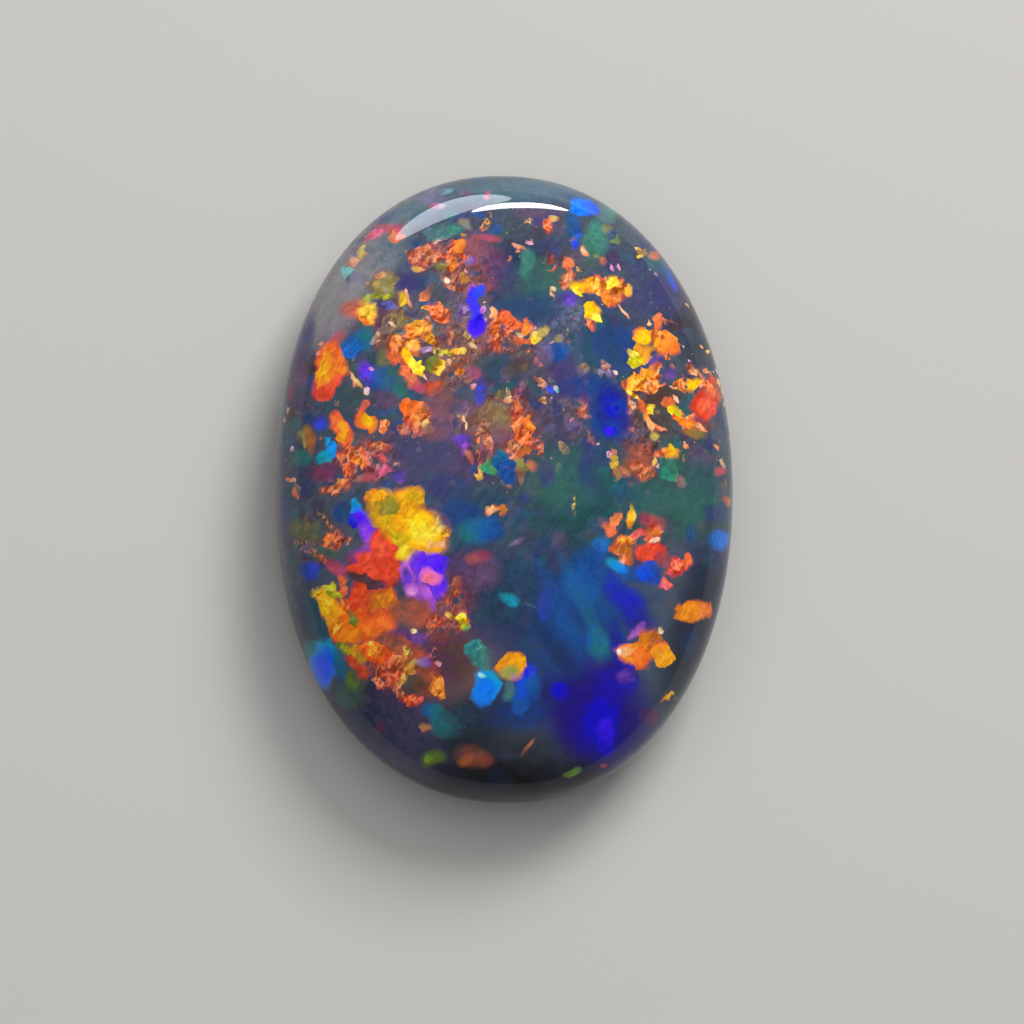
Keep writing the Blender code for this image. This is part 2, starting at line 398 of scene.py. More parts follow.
RIGHT = [
    Flake(662, 396, 18, 12, 0, F.UMBER, F.UMBER, S, 0.9),
    Flake(665, 422, 16, 16, 0, F.UMBER, F.MOSS, S, 0.8),
    Flake(672, 324, 9, 6, 0, F.NAVY, F.UMBER, S),
    Flake(658, 321, 9, 4.5, 85, F.FLAME, F.SALMON, C, 0.95),
    Flake(656, 337, 8, 8, 0, F.TANGERINE, F.FLAME, R, 0.9),
    Flake(642, 334, 10, 9.5, -35, F.TANGERINE, F.YELLOW, M),
    Flake(667, 345, 12, 10, -20, F.TANGERINE, F.FLAME),
    Flake(657, 343, 8, 4.5, 85, F.TANGERINE, F.GOLD),
    Flake(645, 351, 10, 7, 60, F.TANGERINE, F.MUSTARD, C, 0.95),
    Flake(635, 359, 10, 8, -30, F.MUSTARD, F.LIME),
    Flake(633, 354, 5, 4, 0, F.STRAW, F.LEMON, R, 0.8),
    Flake(656, 361, 8, 4.5, 0, F.PURPLE, F.INDIGO, S, 0.9),
    Flake(671, 371, 7, 5, 80, F.PURPLE, F.INDIGO, S, 0.8),
    Flake(655, 376, 12, 9, 60, F.AMBER, F.TANGERINE, R, 0.95),
    Flake(647, 372, 9, 5, 20, F.GOLD, F.TANGERINE, C, 0.9),
    Flake(640, 383, 17, 10, 5, F.TANGERINE, F.GOLD, R),
    Flake(653, 386, 12, 6, 10, F.FLAME, F.TANGERINE, R, 0.9),
    Flake(633, 395, 9, 3, -40, F.LEMON, F.GOLD, R, 0.95),
    Flake(634, 403, 9, 3.5, -45, F.SALMON, F.PEACH, R, 0.85),
    Flake(645, 407, 9, 3.5, -60, F.FLAME, F.RUST, C, 0.95),
    Flake(652, 410, 7, 4, 80, F.GOLD, F.LEMON),
    Flake(650, 423, 9, 4, -62, F.TANGERINE, F.PEACH),
    Flake(661, 427, 7, 3.5, -30, F.CORAL, F.PEACH, C, 0.95),
    Flake(655, 436, 4.5, 4, 0, F.KHAKI, F.STRAW, S, 0.9),
    Flake(669, 403, 5.5, 4, 0, F.RUST, F.FLAME, C, 0.9),
    Flake(674, 410, 6.5, 4, -40, F.YELLOW, F.LIME),
    Flake(676, 399, 4, 2, -40, F.PEACH, F.GLINT_CREAM, C, 0.95),
    Flake(673, 388, 4, 1.6, -20, F.GLINT_CREAM, F.STRAW, C, 0.9),
    Flake(696, 373, 11, 4.5, -40, F.AMBER, F.PEACH, R, 0.9),
    Flake(681, 385, 14, 7, 20, F.RUST, F.TANGERINE, R, 0.95),
    Flake(714, 388, 15, 5, -75, F.EMBER, F.RUST, C, 0.95),
    Flake(706, 386, 13, 8, -50, F.CORAL, F.BLAZE, R),
    Flake(694, 384, 8, 7, 40, F.GOLD, F.YELLOW),
    Flake(702, 422, 12, 5.5, -10, F.WINE, F.BROWN, S, 0.9),
    Flake(705, 406, 15, 14, -10, F.EMBER, F.SCARLET, M),
    Flake(703, 404, 9, 7, -10, F.SCARLET, F.CORAL, M, 0.9),
    Flake(685, 422, 12, 5, -35, F.BLAZE, F.TANGERINE),
    Flake(695, 433, 12, 4, -5, F.AMBER, F.OLIVE, S, 0.9),
    Flake(702, 428, 8, 3, -15, F.PEACH, F.TANGERINE, C, 0.95),
    Flake(681, 413, 6, 3.5, -50, F.LIME, F.GOLD, C, 0.9),
    Flake(604, 400, 20, 17, -40, F.COBALT, F.COBALT, S),
    Flake(603, 424, 18, 15, 0, F.COBALT, F.DENIM, S),
    Flake(612, 412, 30, 18, -72, F.INK, F.COBALT, K, 0.8),
    Flake(616, 412, 18, 11, -66, F.ULTRAMARINE, F.INK, S, 0.6),
    Flake(617, 407, 9, 7, 30, F.ULTRAMARINE, F.COBALT, S, 0.9),
    Flake(617, 407, 4.5, 3.3, 30, F.ELECTRIC, F.ULTRAMARINE, C, 0.9),
    Flake(612, 430, 9, 7, 20, F.ULTRAMARINE, F.COBALT, S, 0.9),
    Flake(611, 431, 5, 3.5, 20, F.ELECTRIC, F.ULTRAMARINE, C, 0.9),
    Flake(590, 365, 34, 5, -82, F.DEEP_TEAL, F.SEA, S, 0.6),
    Flake(575, 350, 30, 5, -76, F.SEA, F.STEEL, S, 0.5),
    Flake(588, 432, 30, 4, -82, F.SEA, F.DUSK, S, 0.6),
    Flake(562, 432, 34, 5, -78, F.NAVY, F.DUSK, S, 0.6),
    Flake(612, 345, 26, 5, -80, F.NAVY, F.SEA, S, 0.5),
    Flake(604, 374, 13, 4, -10, F.HAZE, F.LILAC, R, 0.6),
    Flake(616, 372, 4, 2, -30, F.BLUSH, F.GLINT_CREAM, C, 0.8),
    Flake(583, 404, 17, 7, -80, F.BRICK, F.SALMON, R, 0.75),
    Flake(589, 438, 10, 4, -60, F.KHAKI, F.SALMON, R, 0.8),
]

LEFT = [
    Flake(300, 345, 26, 12, 75, F.DUSK, F.INDIGO, S, 0.8),
    Flake(345, 402, 24, 16, 0, F.SEA, F.MOSS, S, 0.8),
    Flake(300, 372, 16, 6, 85, F.MAUVE, F.PLUM, S, 0.9),
    Flake(291, 391, 9, 3.5, 85, F.WINE, F.MAUVE, S),
    Flake(360, 340, 14, 10, 30, F.SKY, F.TEAL, S, 0.9),
    Flake(350, 350, 11, 7, -70, F.SKY, F.AZURE, C, 0.8),
    Flake(370, 376, 15, 8, -65, F.VIOLET, F.COBALT, S),
    Flake(369, 370, 9, 5, -60, F.VIOLET, F.ROYAL, C, 0.8),
    Flake(386, 378, 14, 13, 0, F.SKY, F.JADE, S, 0.8),
    Flake(399, 391, 7, 6, 0, F.TEAL, F.JADE, S, 0.9),
    Flake(385, 400, 14, 8, 0, F.PLUM, F.MAUVE, S, 0.7),
    Flake(382, 342, 11, 9, -60, F.BRICK, F.BROWN, W),
    Flake(384, 355, 10, 6, 80, F.OLIVE, F.MOSS, S, 0.8),
    Flake(335, 338, 8, 5, 30, F.ROSE, F.BRICK, S, 0.9),
    Flake(314, 386, 9, 3.5, 80, F.ROSE, F.BRICK, S, 0.9),
    Flake(329, 369, 31, 15, 82, F.SCARLET, F.FLAME, M),
    Flake(336, 366, 13, 9, -30, F.FLAME, F.TANGERINE),
    Flake(327, 368, 23, 11, 80, F.TANGERINE, F.FLAME),
    Flake(325, 366, 17, 7, 75, F.GOLD, F.TANGERINE, C, 0.95),
    Flake(322, 394, 11, 5.5, -8, F.SCARLET, F.EMBER, C, 0.95),
    Flake(356, 380, 12, 2.3, -52, F.PEACH, F.STRAW),
    Flake(367, 391, 5, 3, 90, F.GLINT_CREAM, F.BLUSH, C, 0.85),
    Flake(372, 368, 3, 2, -50, F.BLUSH, F.BLUSH, C, 0.8),
    Flake(398, 348, 12, 13, 0, F.SALMON, F.TANGERINE, R),
    Flake(396, 358, 10, 6, -20, F.FLAME, F.RUST, C, 0.95),
    Flake(416, 331, 13, 9, 20, F.FLAME, F.GOLD, R, 0.95),
    Flake(413, 345, 10, 7, -30, F.STRAW, F.TANGERINE, R),
    Flake(431, 339, 9, 5.5, -20, F.GOLD, F.AMBER, R, 0.95),
    Flake(431, 366, 10, 9, 0, F.OLIVE, F.FERN, C, 0.9),
    Flake(439, 366, 5.5, 6.5, 0, F.MUSTARD, F.LIME, R, 0.95),
    Flake(442, 352, 10, 4, -15, F.STRAW, F.LIME, R, 0.95),
    Flake(409, 376, 15, 9, -58, F.CORAL, F.SALMON),
    Flake(420, 387, 7, 5, 0, F.ROSE, F.BRICK, S, 0.9),
    Flake(431, 388, 9, 9, 0, F.EMBER, F.RUST, C, 0.95),
    Flake(408, 357, 9, 5, -40, F.GOLD, F.YELLOW),
    Flake(417, 365, 12, 6, -50, F.LEMON, F.YELLOW),
    Flake(426, 350, 7, 3, 10, F.LILAC, F.BLUSH, C, 0.85),
    Flake(425, 376, 4, 1.6, -60, F.PEACH, F.PEACH, C, 0.9),
    Flake(418, 414, 19, 15, -10, F.RUST, F.FLAME, C, 0.9),
    Flake(416, 412, 16, 13, -10, F.FLAME, F.AMBER, R),
    Flake(409, 406, 10, 7, 0, F.BLAZE, F.FLAME, C, 0.8),
    Flake(425, 425, 6, 4, 20, F.PEACH, F.STRAW, R, 0.85),
    Flake(405, 429, 9, 6, 0, F.SALMON, F.RUST, R, 0.9),
    Flake(364, 406, 6, 3.5, 80, F.CORAL, F.BRICK, C, 0.85),
    Flake(367, 421, 11, 8, -30, F.FLAME, F.TANGERINE, M),
    Flake(367, 420, 7, 5, -30, F.GOLD, F.YELLOW, M, 0.9),
    Flake(342, 431, 18, 11, -65, F.CORAL, F.FLAME, M),
    Flake(343, 432, 13, 7, -62, F.TANGERINE, F.GOLD),
    Flake(305, 434, 15, 8, -72, F.OLIVE, F.KHAKI, C, 0.85),
    Flake(310, 442, 13, 5, -80, F.AMBER, F.BROWN, S, 0.9),
    Flake(300, 458, 11, 8, 0, F.JADE, F.TEAL, S, 0.8),
    Flake(319, 422, 8, 7, -45, F.INDIGO, F.ROYAL, S),
    Flake(324, 458, 9, 6, 30, F.TEAL, F.TURQUOISE),
    Flake(330, 447, 10, 6, -70, F.TURQUOISE, F.AZURE, C, 0.95),
    Flake(375, 465, 20, 12, -20, F.BRICK, F.MAUVE, R, 0.9),
    Flake(357, 457, 14, 12, -30, F.RUST, F.FLAME, R),
    Flake(360, 462, 7, 6, 40, F.TANGERINE, F.FLAME, R, 0.9),
    Flake(341, 456, 4.5, 4, 0, F.FLAME, F.SALMON, C, 0.95),
    Flake(378, 446, 13, 4.5, -18, F.SALMON, F.RUST, R),
    Flake(345, 470, 11, 7, 60, F.RUST, F.FLAME, R),
    Flake(340, 481, 9, 4, 40, F.TANGERINE, F.SALMON, R, 0.95),
    Flake(381, 458, 7, 5, -30, F.ROSE, F.CORAL, C, 0.95),
    Flake(385, 472, 10, 4, 10, F.ROSE, F.PINK, C, 0.8),
    Flake(394, 466, 5, 3, 60, F.SALMON, F.PEACH, R, 0.9),
    Flake(326, 472, 12, 8, 20, F.WINE, F.PLUM, S, 0.8),
    Flake(368, 478, 7, 4, 0, F.BRICK, F.ROSE, S, 0.8),
    Flake(398, 476, 8, 6, -30, F.INDIGO, F.VIOLET, S, 0.6),
    Flake(290, 482, 5.5, 2.5, -20, F.SALMON, F.PEACH, C, 0.95),
    Flake(296, 495, 6.5, 2.5, -60, F.RUST, F.SALMON, C, 0.9),
    Flake(335, 489, 15, 5.5, 15, F.SALMON, F.RUST, R, 0.95),
]

CENTRE = [
    Flake(425, 455, 30, 24, 0, F.DUSK, F.DUSK, S, 0.9),
    Flake(448, 486, 22, 12, 0, F.INDIGO, F.DENIM, S, 0.8),
    Flake(570, 480, 32, 28, 0, F.JADE, F.SEA, S, 0.9),
    Flake(588, 462, 24, 8, 88, F.DENIM, F.INDIGO, S, 0.8),
    Flake(547, 473, 13, 7, 85, F.INDIGO, F.DUSK, S, 0.8),
    Flake(500, 369, 24, 13, -20, F.DEEP_TEAL, F.DENIM, S, 0.9),
    Flake(526, 368, 18, 10, 0, F.UMBER, F.SLATE, S, 0.8),
    Flake(575, 385, 24, 14, 0, F.INDIGO, F.COBALT, S, 0.9),
    Flake(565, 366, 15, 12, 0, F.INDIGO, F.DUSK, S, 0.8),
    Flake(442, 405, 16, 14, 0, F.MAUVE, F.BROWN, S, 0.8),
    Flake(437, 433, 14, 9, 0, F.BROWN, F.MAUVE, S, 0.8),
    Flake(490, 420, 20, 17, 0, F.BROWN, F.KHAKI, S, 0.5),
    Flake(507, 435, 18, 10, 0, F.MAUVE, F.BROWN, S, 0.7),
    Flake(467, 393, 11, 9, 0, F.DENIM, F.SLATE, S, 0.9),
    Flake(481, 389, 15, 6, 85, F.ROYAL, F.INDIGO, S, 0.8),
    Flake(558, 352, 10, 8, 20, F.COBALT, F.SKY, S),
    Flake(543, 355, 11, 10, 60, F.MAUVE, F.LILAC, S, 0.45),
    Flake(559, 338, 4.5, 4, 0, F.KHAKI, F.HAZE, S, 0.8),
    Flake(470, 341, 13, 3.5, -50, F.STRAW, F.KHAKI, W),
    Flake(474, 346, 4, 3.5, 0, F.STRAW, F.GLINT_CREAM, C, 0.85),
    Flake(457, 353, 8, 4, 10, F.GOLD, F.STRAW),
    Flake(450, 338, 10, 3.5, -80, F.BRICK, F.SALMON, W),
    Flake(458, 362, 14, 9, 0, F.BROWN, F.RUST, W),
    Flake(460, 371, 6.5, 5, 0, F.TANGERINE, F.AMBER, R, 0.85),
    Flake(473, 371, 8, 5, 0, F.MAUVE, F.ROSE, S, 0.7),
    Flake(540, 382, 9, 3.2, -45, F.SALMON, F.PEACH, R, 0.8),
    Flake(550, 388, 6.5, 4.5, -20, F.PERIWINKLE, F.ROYAL, C, 0.9),
    Flake(549, 380, 8, 3, -20, F.HAZE, F.STEEL, W, 0.9),
    Flake(558, 388, 5, 2.5, -55, F.GLINT_CREAM, F.CYAN, C, 0.8),
    Flake(473, 385, 4, 2.5, 60, F.SALMON, F.BLUSH, C, 0.85),
    Flake(503, 394, 6.5, 5.5, 0, F.OLIVE, F.MOSS, S, 0.9),
    Flake(497, 393, 7, 2, 85, F.SALMON, F.RUST, W),
    Flake(508, 392, 7, 2.2, -60, F.PEACH, F.KHAKI, W),
    Flake(508, 402, 4.5, 3, 0, F.SALMON, F.PEACH, C, 0.85),
    Flake(520, 391, 14, 5, 60, F.BRICK, F.MAUVE, R, 0.7),
    Flake(517, 409, 10, 3.5, 85, F.FLAME, F.SALMON, C, 0.8),
    Flake(537, 443, 17, 7, -58, F.RUST, F.BRICK, R, 0.95),
    Flake(518, 443, 20, 12, 80, F.SALMON, F.BROWN, R, 0.85),
    Flake(523, 426, 18, 11, -55, F.RUST, F.FLAME, R),
    Flake(530, 424, 9, 4, -55, F.FLAME, F.TANGERINE, C, 0.85),
    Flake(524, 452, 9, 6, 0, F.RUST, F.AMBER, C, 0.95),
    Flake(521, 467, 9, 7, -60, F.KHAKI, F.OLIVE, C, 0.9),
    Flake(487, 435, 18, 5.5, -70, F.BROWN, F.SALMON, R, 0.75),
    Flake(461, 409, 11, 8, 0, F.DUSK, F.MAUVE, S, 0.95),
    Flake(463, 419, 3.5, 1.8, -60, F.STRAW, F.GLINT_CREAM, C, 0.9),
    Flake(466, 425, 4, 1.8, -80, F.GLINT_CREAM, F.PEACH, C, 0.8),
    Flake(464, 440, 9, 7, 0, F.VIOLET, F.INDIGO, S, 0.8),
    Flake(463, 449, 7, 3, 60, F.PURPLE, F.ORCHID, S, 0.7),
    Flake(468, 456, 6, 3.5, -50, F.SALMON, F.BRICK, S, 0.9),
    Flake(479, 456, 8, 3, -80, F.SALMON, F.RUST, W),
    Flake(479, 471, 7.5, 4, 85, F.STRAW, F.GOLD),
    Flake(499, 457, 9, 7, -60, F.TEAL, F.SKY, C, 0.95),
    Flake(506, 469, 12, 7, -50, F.SKY, F.COBALT, C, 0.95),
    Flake(488, 464, 8, 7, 70, F.EMERALD, F.LEAF, C, 0.95),
    Flake(534, 466, 5.5, 4.5, 0, F.SALMON, F.BRICK, S, 0.8),
    Flake(494, 510, 8, 6.5, 60, F.PEACH, F.TANGERINE),
    Flake(502, 510, 3, 4.5, 0, F.AMBER, F.AMBER, C, 0.9),
    Flake(574, 505, 9, 2.2, -80, F.STRAW, F.KHAKI, W),
]

LOWER_LEFT = [
    Flake(303, 595, 32, 18, -75, F.SLATE, F.NIGHT, S, 0.9),
    Flake(318, 622, 26, 12, -80, F.SEA, F.SEA, S, 0.9),
    Flake(310, 530, 20, 10, 0, F.OLIVE, F.MOSS, S, 0.7),
    Flake(328, 553, 15, 8, 0, F.JADE, F.MOSS, S, 0.9),
    Flake(345, 514, 11, 10, 0, F.COBALT, F.DENIM, S, 0.8),
    Flake(310, 570, 9, 8, 0, F.COBALT, F.ROYAL, S, 0.9),
    Flake(357, 508, 11, 5, -75, F.TURQUOISE, F.AZURE, C, 0.95),
    Flake(355, 521, 10, 5, -80, F.ROYAL, F.ULTRAMARINE),
    Flake(366, 527, 19, 8, -68, F.ELECTRIC, F.VIOLET, K),
    Flake(369, 536, 12, 5, -70, F.VIOLET, F.ORCHID, S, 0.7),
    Flake(371, 548, 12, 6, 60, F.WINE, F.ORCHID, S, 0.9),
    Flake(358, 558, 14, 7, 40, F.WINE, F.PURPLE, S, 0.8),
    Flake(373, 609, 36, 26, -86, F.EMBER, F.BLAZE, M),
    Flake(372, 580, 28, 7, -12, F.UMBER, F.PLUM, M),
    Flake(366, 567, 20, 7, 8, F.EMBER, F.SCARLET, M),
    Flake(376, 566, 22, 12, -24, F.SCARLET, F.EMBER, M),
    Flake(385, 555, 25, 13, -75, F.SCARLET, F.EMBER, M),
    Flake(389, 573, 10, 13, 0, F.SCARLET, F.EMBER, C, 0.9),
    Flake(381, 551, 12, 7, -70, F.CORAL, F.SCARLET, C, 0.7),
    Flake(407, 524, 46, 24, -36, F.MUSTARD, F.GOLD, M),
    Flake(409, 499, 16, 10, 0, F.GOLD, F.MUSTARD),
    Flake(408, 550, 12, 10, 70, F.YELLOW, F.MUSTARD),
    Flake(389, 508, 13, 7, -40, F.OLIVE, F.FERN, C, 0.7),
    Flake(376, 497, 13, 6, 12, F.MARIGOLD, F.GOLD, C, 0.9),
    Flake(397, 536, 14, 7, -50, F.LIME, F.MUSTARD, C, 0.9),
    Flake(418, 528, 25, 17, -35, F.GOLD, F.YELLOW, M),
    Flake(420, 529, 19, 12, -30, F.YELLOW, F.LEMON, C, 0.85),
    Flake(402, 551, 9, 7, 60, F.YELLOW, F.LEMON, M, 0.8),
    Flake(404, 537, 7, 3.5, -20, F.MUSTARD, F.LIME, S, 0.7),
    Flake(433, 546, 12, 4, 8, F.GOLD, F.PEACH, C, 0.85),
    Flake(440, 524, 17, 7, -62, F.LEMON, F.GOLD, R),
    Flake(446, 519, 9, 2.5, -60, F.ROSE, F.BROWN, S, 0.8),
    Flake(425, 578, 25, 20, -62, F.PURPLE, F.VIOLET, K, 0.95),
    Flake(429, 563, 19, 11, 0, F.VIOLET, F.ELECTRIC, K),
    Flake(406, 573, 15, 8, -80, F.ORCHID, F.PURPLE, C, 0.9),
    Flake(407, 576, 8, 4, -80, F.INDIGO, F.VIOLET, S, 0.9),
    Flake(438, 582, 15, 8, -70, F.ELECTRIC, F.VIOLET, K),
    Flake(416, 590, 11, 8, 20, F.ORCHID, F.PURPLE, K, 0.9),
    Flake(413, 591, 5, 4, 20, F.BLUSH, F.ORCHID, S, 0.8),
    Flake(430, 600, 14, 5, -60, F.ORCHID, F.VIOLET, K, 0.9),
    Flake(430, 577, 11, 8, -10, F.ORCHID, F.PINK, K),
    Flake(427, 577, 6, 4, 0, F.PINK, F.CORAL, C, 0.8),
    Flake(374, 602, 25, 14, 0, F.EMBER, F.RUST),
    Flake(384, 601, 16, 10, 20, F.AMBER, F.MARIGOLD, C, 0.9),
    Flake(376, 628, 21, 13, 0, F.BLAZE, F.FLAME, M),
    Flake(368, 627, 10, 8, 40, F.TANGERINE, F.BLAZE, C, 0.8),
    Flake(338, 606, 19, 11, -62, F.MARIGOLD, F.BLAZE, R),
    Flake(330, 606, 19, 8, -62, F.GOLD, F.TANGERINE),
    Flake(329, 587, 6, 4, 40, F.LEMON, F.LIME, C, 0.95),
    Flake(335, 594, 9, 5, 0, F.FERN, F.LIME, C, 0.9),
    Flake(343, 585, 13, 4.5, -75, F.CORAL, F.RUST),
    Flake(345, 630, 19, 13, -25, F.BLAZE, F.MARIGOLD, M),
    Flake(326, 608, 22, 8.5, -66, F.YELLOW, F.MARIGOLD, K),
    Flake(325, 604, 12, 4, -60, F.YELLOW, F.GOLD, R),
    Flake(337, 627, 10, 6, -50, F.GOLD, F.TANGERINE, R),
    Flake(352, 620, 9, 6, -50, F.OLIVE, F.FERN, C, 0.95),
    Flake(332, 538, 10, 7.5, 0, F.FLAME, F.RUST, R),
    Flake(348, 540, 7, 5, 0, F.BROWN, F.SALMON, R, 0.85),
    Flake(325, 520, 11, 3.5, -45, F.KHAKI, F.SALMON, W),
    Flake(300, 544, 10, 4.5, 10, F.BRICK, F.PEACH, W),
    Flake(314, 552, 14, 3.5, -30, F.SALMON, F.BRICK, W),
    Flake(327, 563, 15, 3, -40, F.SALMON, F.BRICK, R, 0.95),
    Flake(336, 567, 11, 5.5, -30, F.WINE, F.ROSE, S, 0.9),
]

BOTTOM_LEFT = [
    Flake(385, 730, 60, 32, -35, F.NIGHT, F.DUSK, S, 0.7),
    Flake(412, 612, 20, 13, 0, F.BROWN, F.RUST, S, 0.9),
    Flake(447, 660, 24, 22, 0, F.PLUM, F.UMBER, S, 0.9),
    Flake(405, 637, 20, 7, 0, F.PLUM, F.PURPLE, S, 0.8),
    Flake(398, 660, 36, 24, -30, F.BROWN, F.RUST, M, 0.95),
    Flake(388, 657, 22, 12, -30, F.RUST, F.AMBER, R, 0.9),
    Flake(420, 678, 24, 16, -30, F.UMBER, F.RUST, C, 0.9),
    Flake(352, 697, 14, 13, 0, F.JADE, F.MOSS, S, 0.8),
    Flake(355, 680, 11, 10, 0, F.FERN, F.MOSS, S, 0.9),
    Flake(322, 662, 25, 16, 84, F.AZURE, F.TURQUOISE, K, 0.9),
    Flake(324, 667, 17, 10, 84, F.SAPPHIRE, F.SAPPHIRE, S),
    Flake(309, 650, 10, 6, 80, F.TEAL, F.TEAL, S, 0.9),
    Flake(338, 665, 16, 5, -80, F.TEAL, F.SKY, S, 0.9),
    Flake(346, 650, 12, 6, -30, F.FERN, F.LIME, C, 0.9),
    Flake(358, 652, 10, 7, 0, F.MUSTARD, F.AMBER, C, 0.9),
    Flake(374, 650, 17, 11, -30, F.BLAZE, F.EMBER),
    Flake(370, 648, 11, 7, -30, F.GOLD, F.TANGERINE, R),
    Flake(352, 662, 10, 6, -20, F.EMBER, F.RUST, C, 0.95),
    Flake(363, 669, 8, 8, 0, F.EMBER, F.RUST, C, 0.9),
    Flake(388, 673, 18, 11, -30, F.RUST, F.EMBER, R, 0.9),
    Flake(380, 683, 10, 4.5, -20, F.SALMON, F.CORAL, R, 0.95),
    Flake(405, 655, 8, 6, 60, F.AMBER, F.STRAW, R),
    Flake(412, 686, 13, 11, 0, F.MOSS, F.UMBER, S, 0.9),
    Flake(411, 668, 10, 6, 40, F.MARIGOLD, F.KHAKI, C, 0.9),
    Flake(401, 679, 13, 3.5, 45, F.AMBER, F.STRAW, R, 0.9),
    Flake(397, 690, 11, 4, -40, F.BRICK, F.SALMON, R, 0.95),
    Flake(410, 700, 12, 4.5, 5, F.EMBER, F.CORAL, R),
    Flake(436, 688, 13, 6.5, -60, F.AMBER, F.TANGERINE, R),
    Flake(430, 657, 10, 3, 60, F.ORCHID, F.SALMON, W),
    Flake(425, 663, 6, 4.5, 0, F.LILAC, F.PURPLE, S, 0.9),
    Flake(437, 663, 4, 3, 0, F.SALMON, F.BLUSH, C, 0.8),
    Flake(431, 622, 11, 6.5, 15, F.CORAL, F.RUST, R, 0.95),
    Flake(414, 629, 3.5, 3, 0, F.STRAW, F.GLINT_CREAM),
    Flake(455, 592, 15, 6.5, 70, F.RUST, F.AMBER, R, 0.85),
    Flake(458, 583, 5.5, 5, 0, F.FLAME, F.AMBER, C, 0.9),
    Flake(451, 606, 16, 4.5, -60, F.RUST, F.BROWN, W),
    Flake(462, 623, 9, 7, -60, F.YELLOW, F.LIME, R),
    Flake(463, 627, 5, 4, 0, F.LIME, F.LEAF, C, 0.9),
    Flake(468, 620, 4, 4, 0, F.TANGERINE, F.AMBER, C, 0.85),
    Flake(449, 617, 5.5, 3, -40, F.STRAW, F.MUSTARD, R, 0.9),
    Flake(433, 758, 11, 7.5, 20, F.FERN, F.FERN, S, 0.85),
    Flake(430, 759, 5, 3.5, 20, F.LIME, F.LEAF, S, 0.6),
    Flake(424, 727, 7.5, 4, 10, F.KHAKI, F.SALMON, C, 0.8),
    Flake(473, 757, 17, 9, -15, F.BROWN, F.RUST, S, 0.6),
    Flake(465, 759, 8, 5, 30, F.AMBER, F.RUST, S, 0.6),
    Flake(380, 727, 8, 3, 70, F.WINE, F.PLUM, S, 0.6),
]

LOWER_MIDDLE = [
    Flake(456, 515, 20, 15, 0, F.DENIM, F.COBALT, S, 0.8),
    Flake(520, 590, 46, 34, 0, F.NIGHT, F.DENIM, S, 0.7),
    Flake(472, 572, 24, 18, 0, F.PLUM, F.MAUVE, S, 0.7),
    Flake(556, 650, 36, 28, 0, F.DENIM, F.COBALT, S, 0.8),
    Flake(510, 712, 30, 18, 0, F.NIGHT, F.COBALT, S, 0.8),
    Flake(479, 530, 17, 11, 0, F.TEAL, F.SKY, S, 0.9),
    Flake(491, 530, 12, 11, 0, F.SKY, F.COBALT, S, 0.9),
    Flake(478, 557, 12, 6, 10, F.BRICK, F.WINE, S, 0.8),
    Flake(509, 600, 10, 6, -30, F.TEAL, F.TURQUOISE, S, 0.9),
    Flake(530, 606, 11, 1.5, -25, F.STEEL, F.STEEL, W, 0.6),
    Flake(518, 541, 8, 2, 35, F.LILAC, F.MAUVE, S, 0.7),
    Flake(546, 602, 16, 7, 85, F.ROYAL, F.INDIGO, S, 0.8),
    Flake(478, 653, 16, 9, -50, F.TEAL, F.LAGOON, C, 0.95),
    Flake(481, 647, 6, 2.5, 30, F.CYAN, F.LAGOON, W),
    Flake(486, 686, 19, 13, 75, F.AZURE, F.TURQUOISE, K),
    Flake(484, 691, 12, 9, 75, F.AZURE, F.SAPPHIRE, S, 0.7),
    Flake(483, 676, 3.5, 2.5, -30, F.ICE, F.CYAN, S),
    Flake(523, 692, 22, 9, 75, F.SKY, F.SAPPHIRE, K, 0.85),
    Flake(533, 690, 15, 8, 80, F.COBALT, F.SKY, S, 0.9),
    Flake(527, 671, 8, 6, 0, F.ULTRAMARINE, F.ROYAL, S, 0.9),
    Flake(508, 690, 10, 5, 85, F.LAGOON, F.STEEL, S, 0.8),
    Flake(511, 666, 14, 12, 0, F.MARIGOLD, F.GOLD, M),
    Flake(509, 673, 8, 7, 0, F.KHAKI, F.LEAF, S, 0.9),
    Flake(516, 676, 6, 4, 30, F.ORCHID, F.SALMON, S, 0.5),
    Flake(434, 712, 9, 8, 0, F.SKY, F.TEAL, S),
    Flake(445, 725, 14, 11, 0, F.TEAL, F.SEA, S, 0.9),
    Flake(562, 692, 9, 6, -30, F.ULTRAMARINE, F.ULTRAMARINE, S),
    Flake(527, 747, 9, 2.5, 55, F.BROWN, F.SALMON, S, 0.8),
    Flake(572, 772, 8, 3.5, 15, F.FERN, F.LEAF, S, 0.9),
]

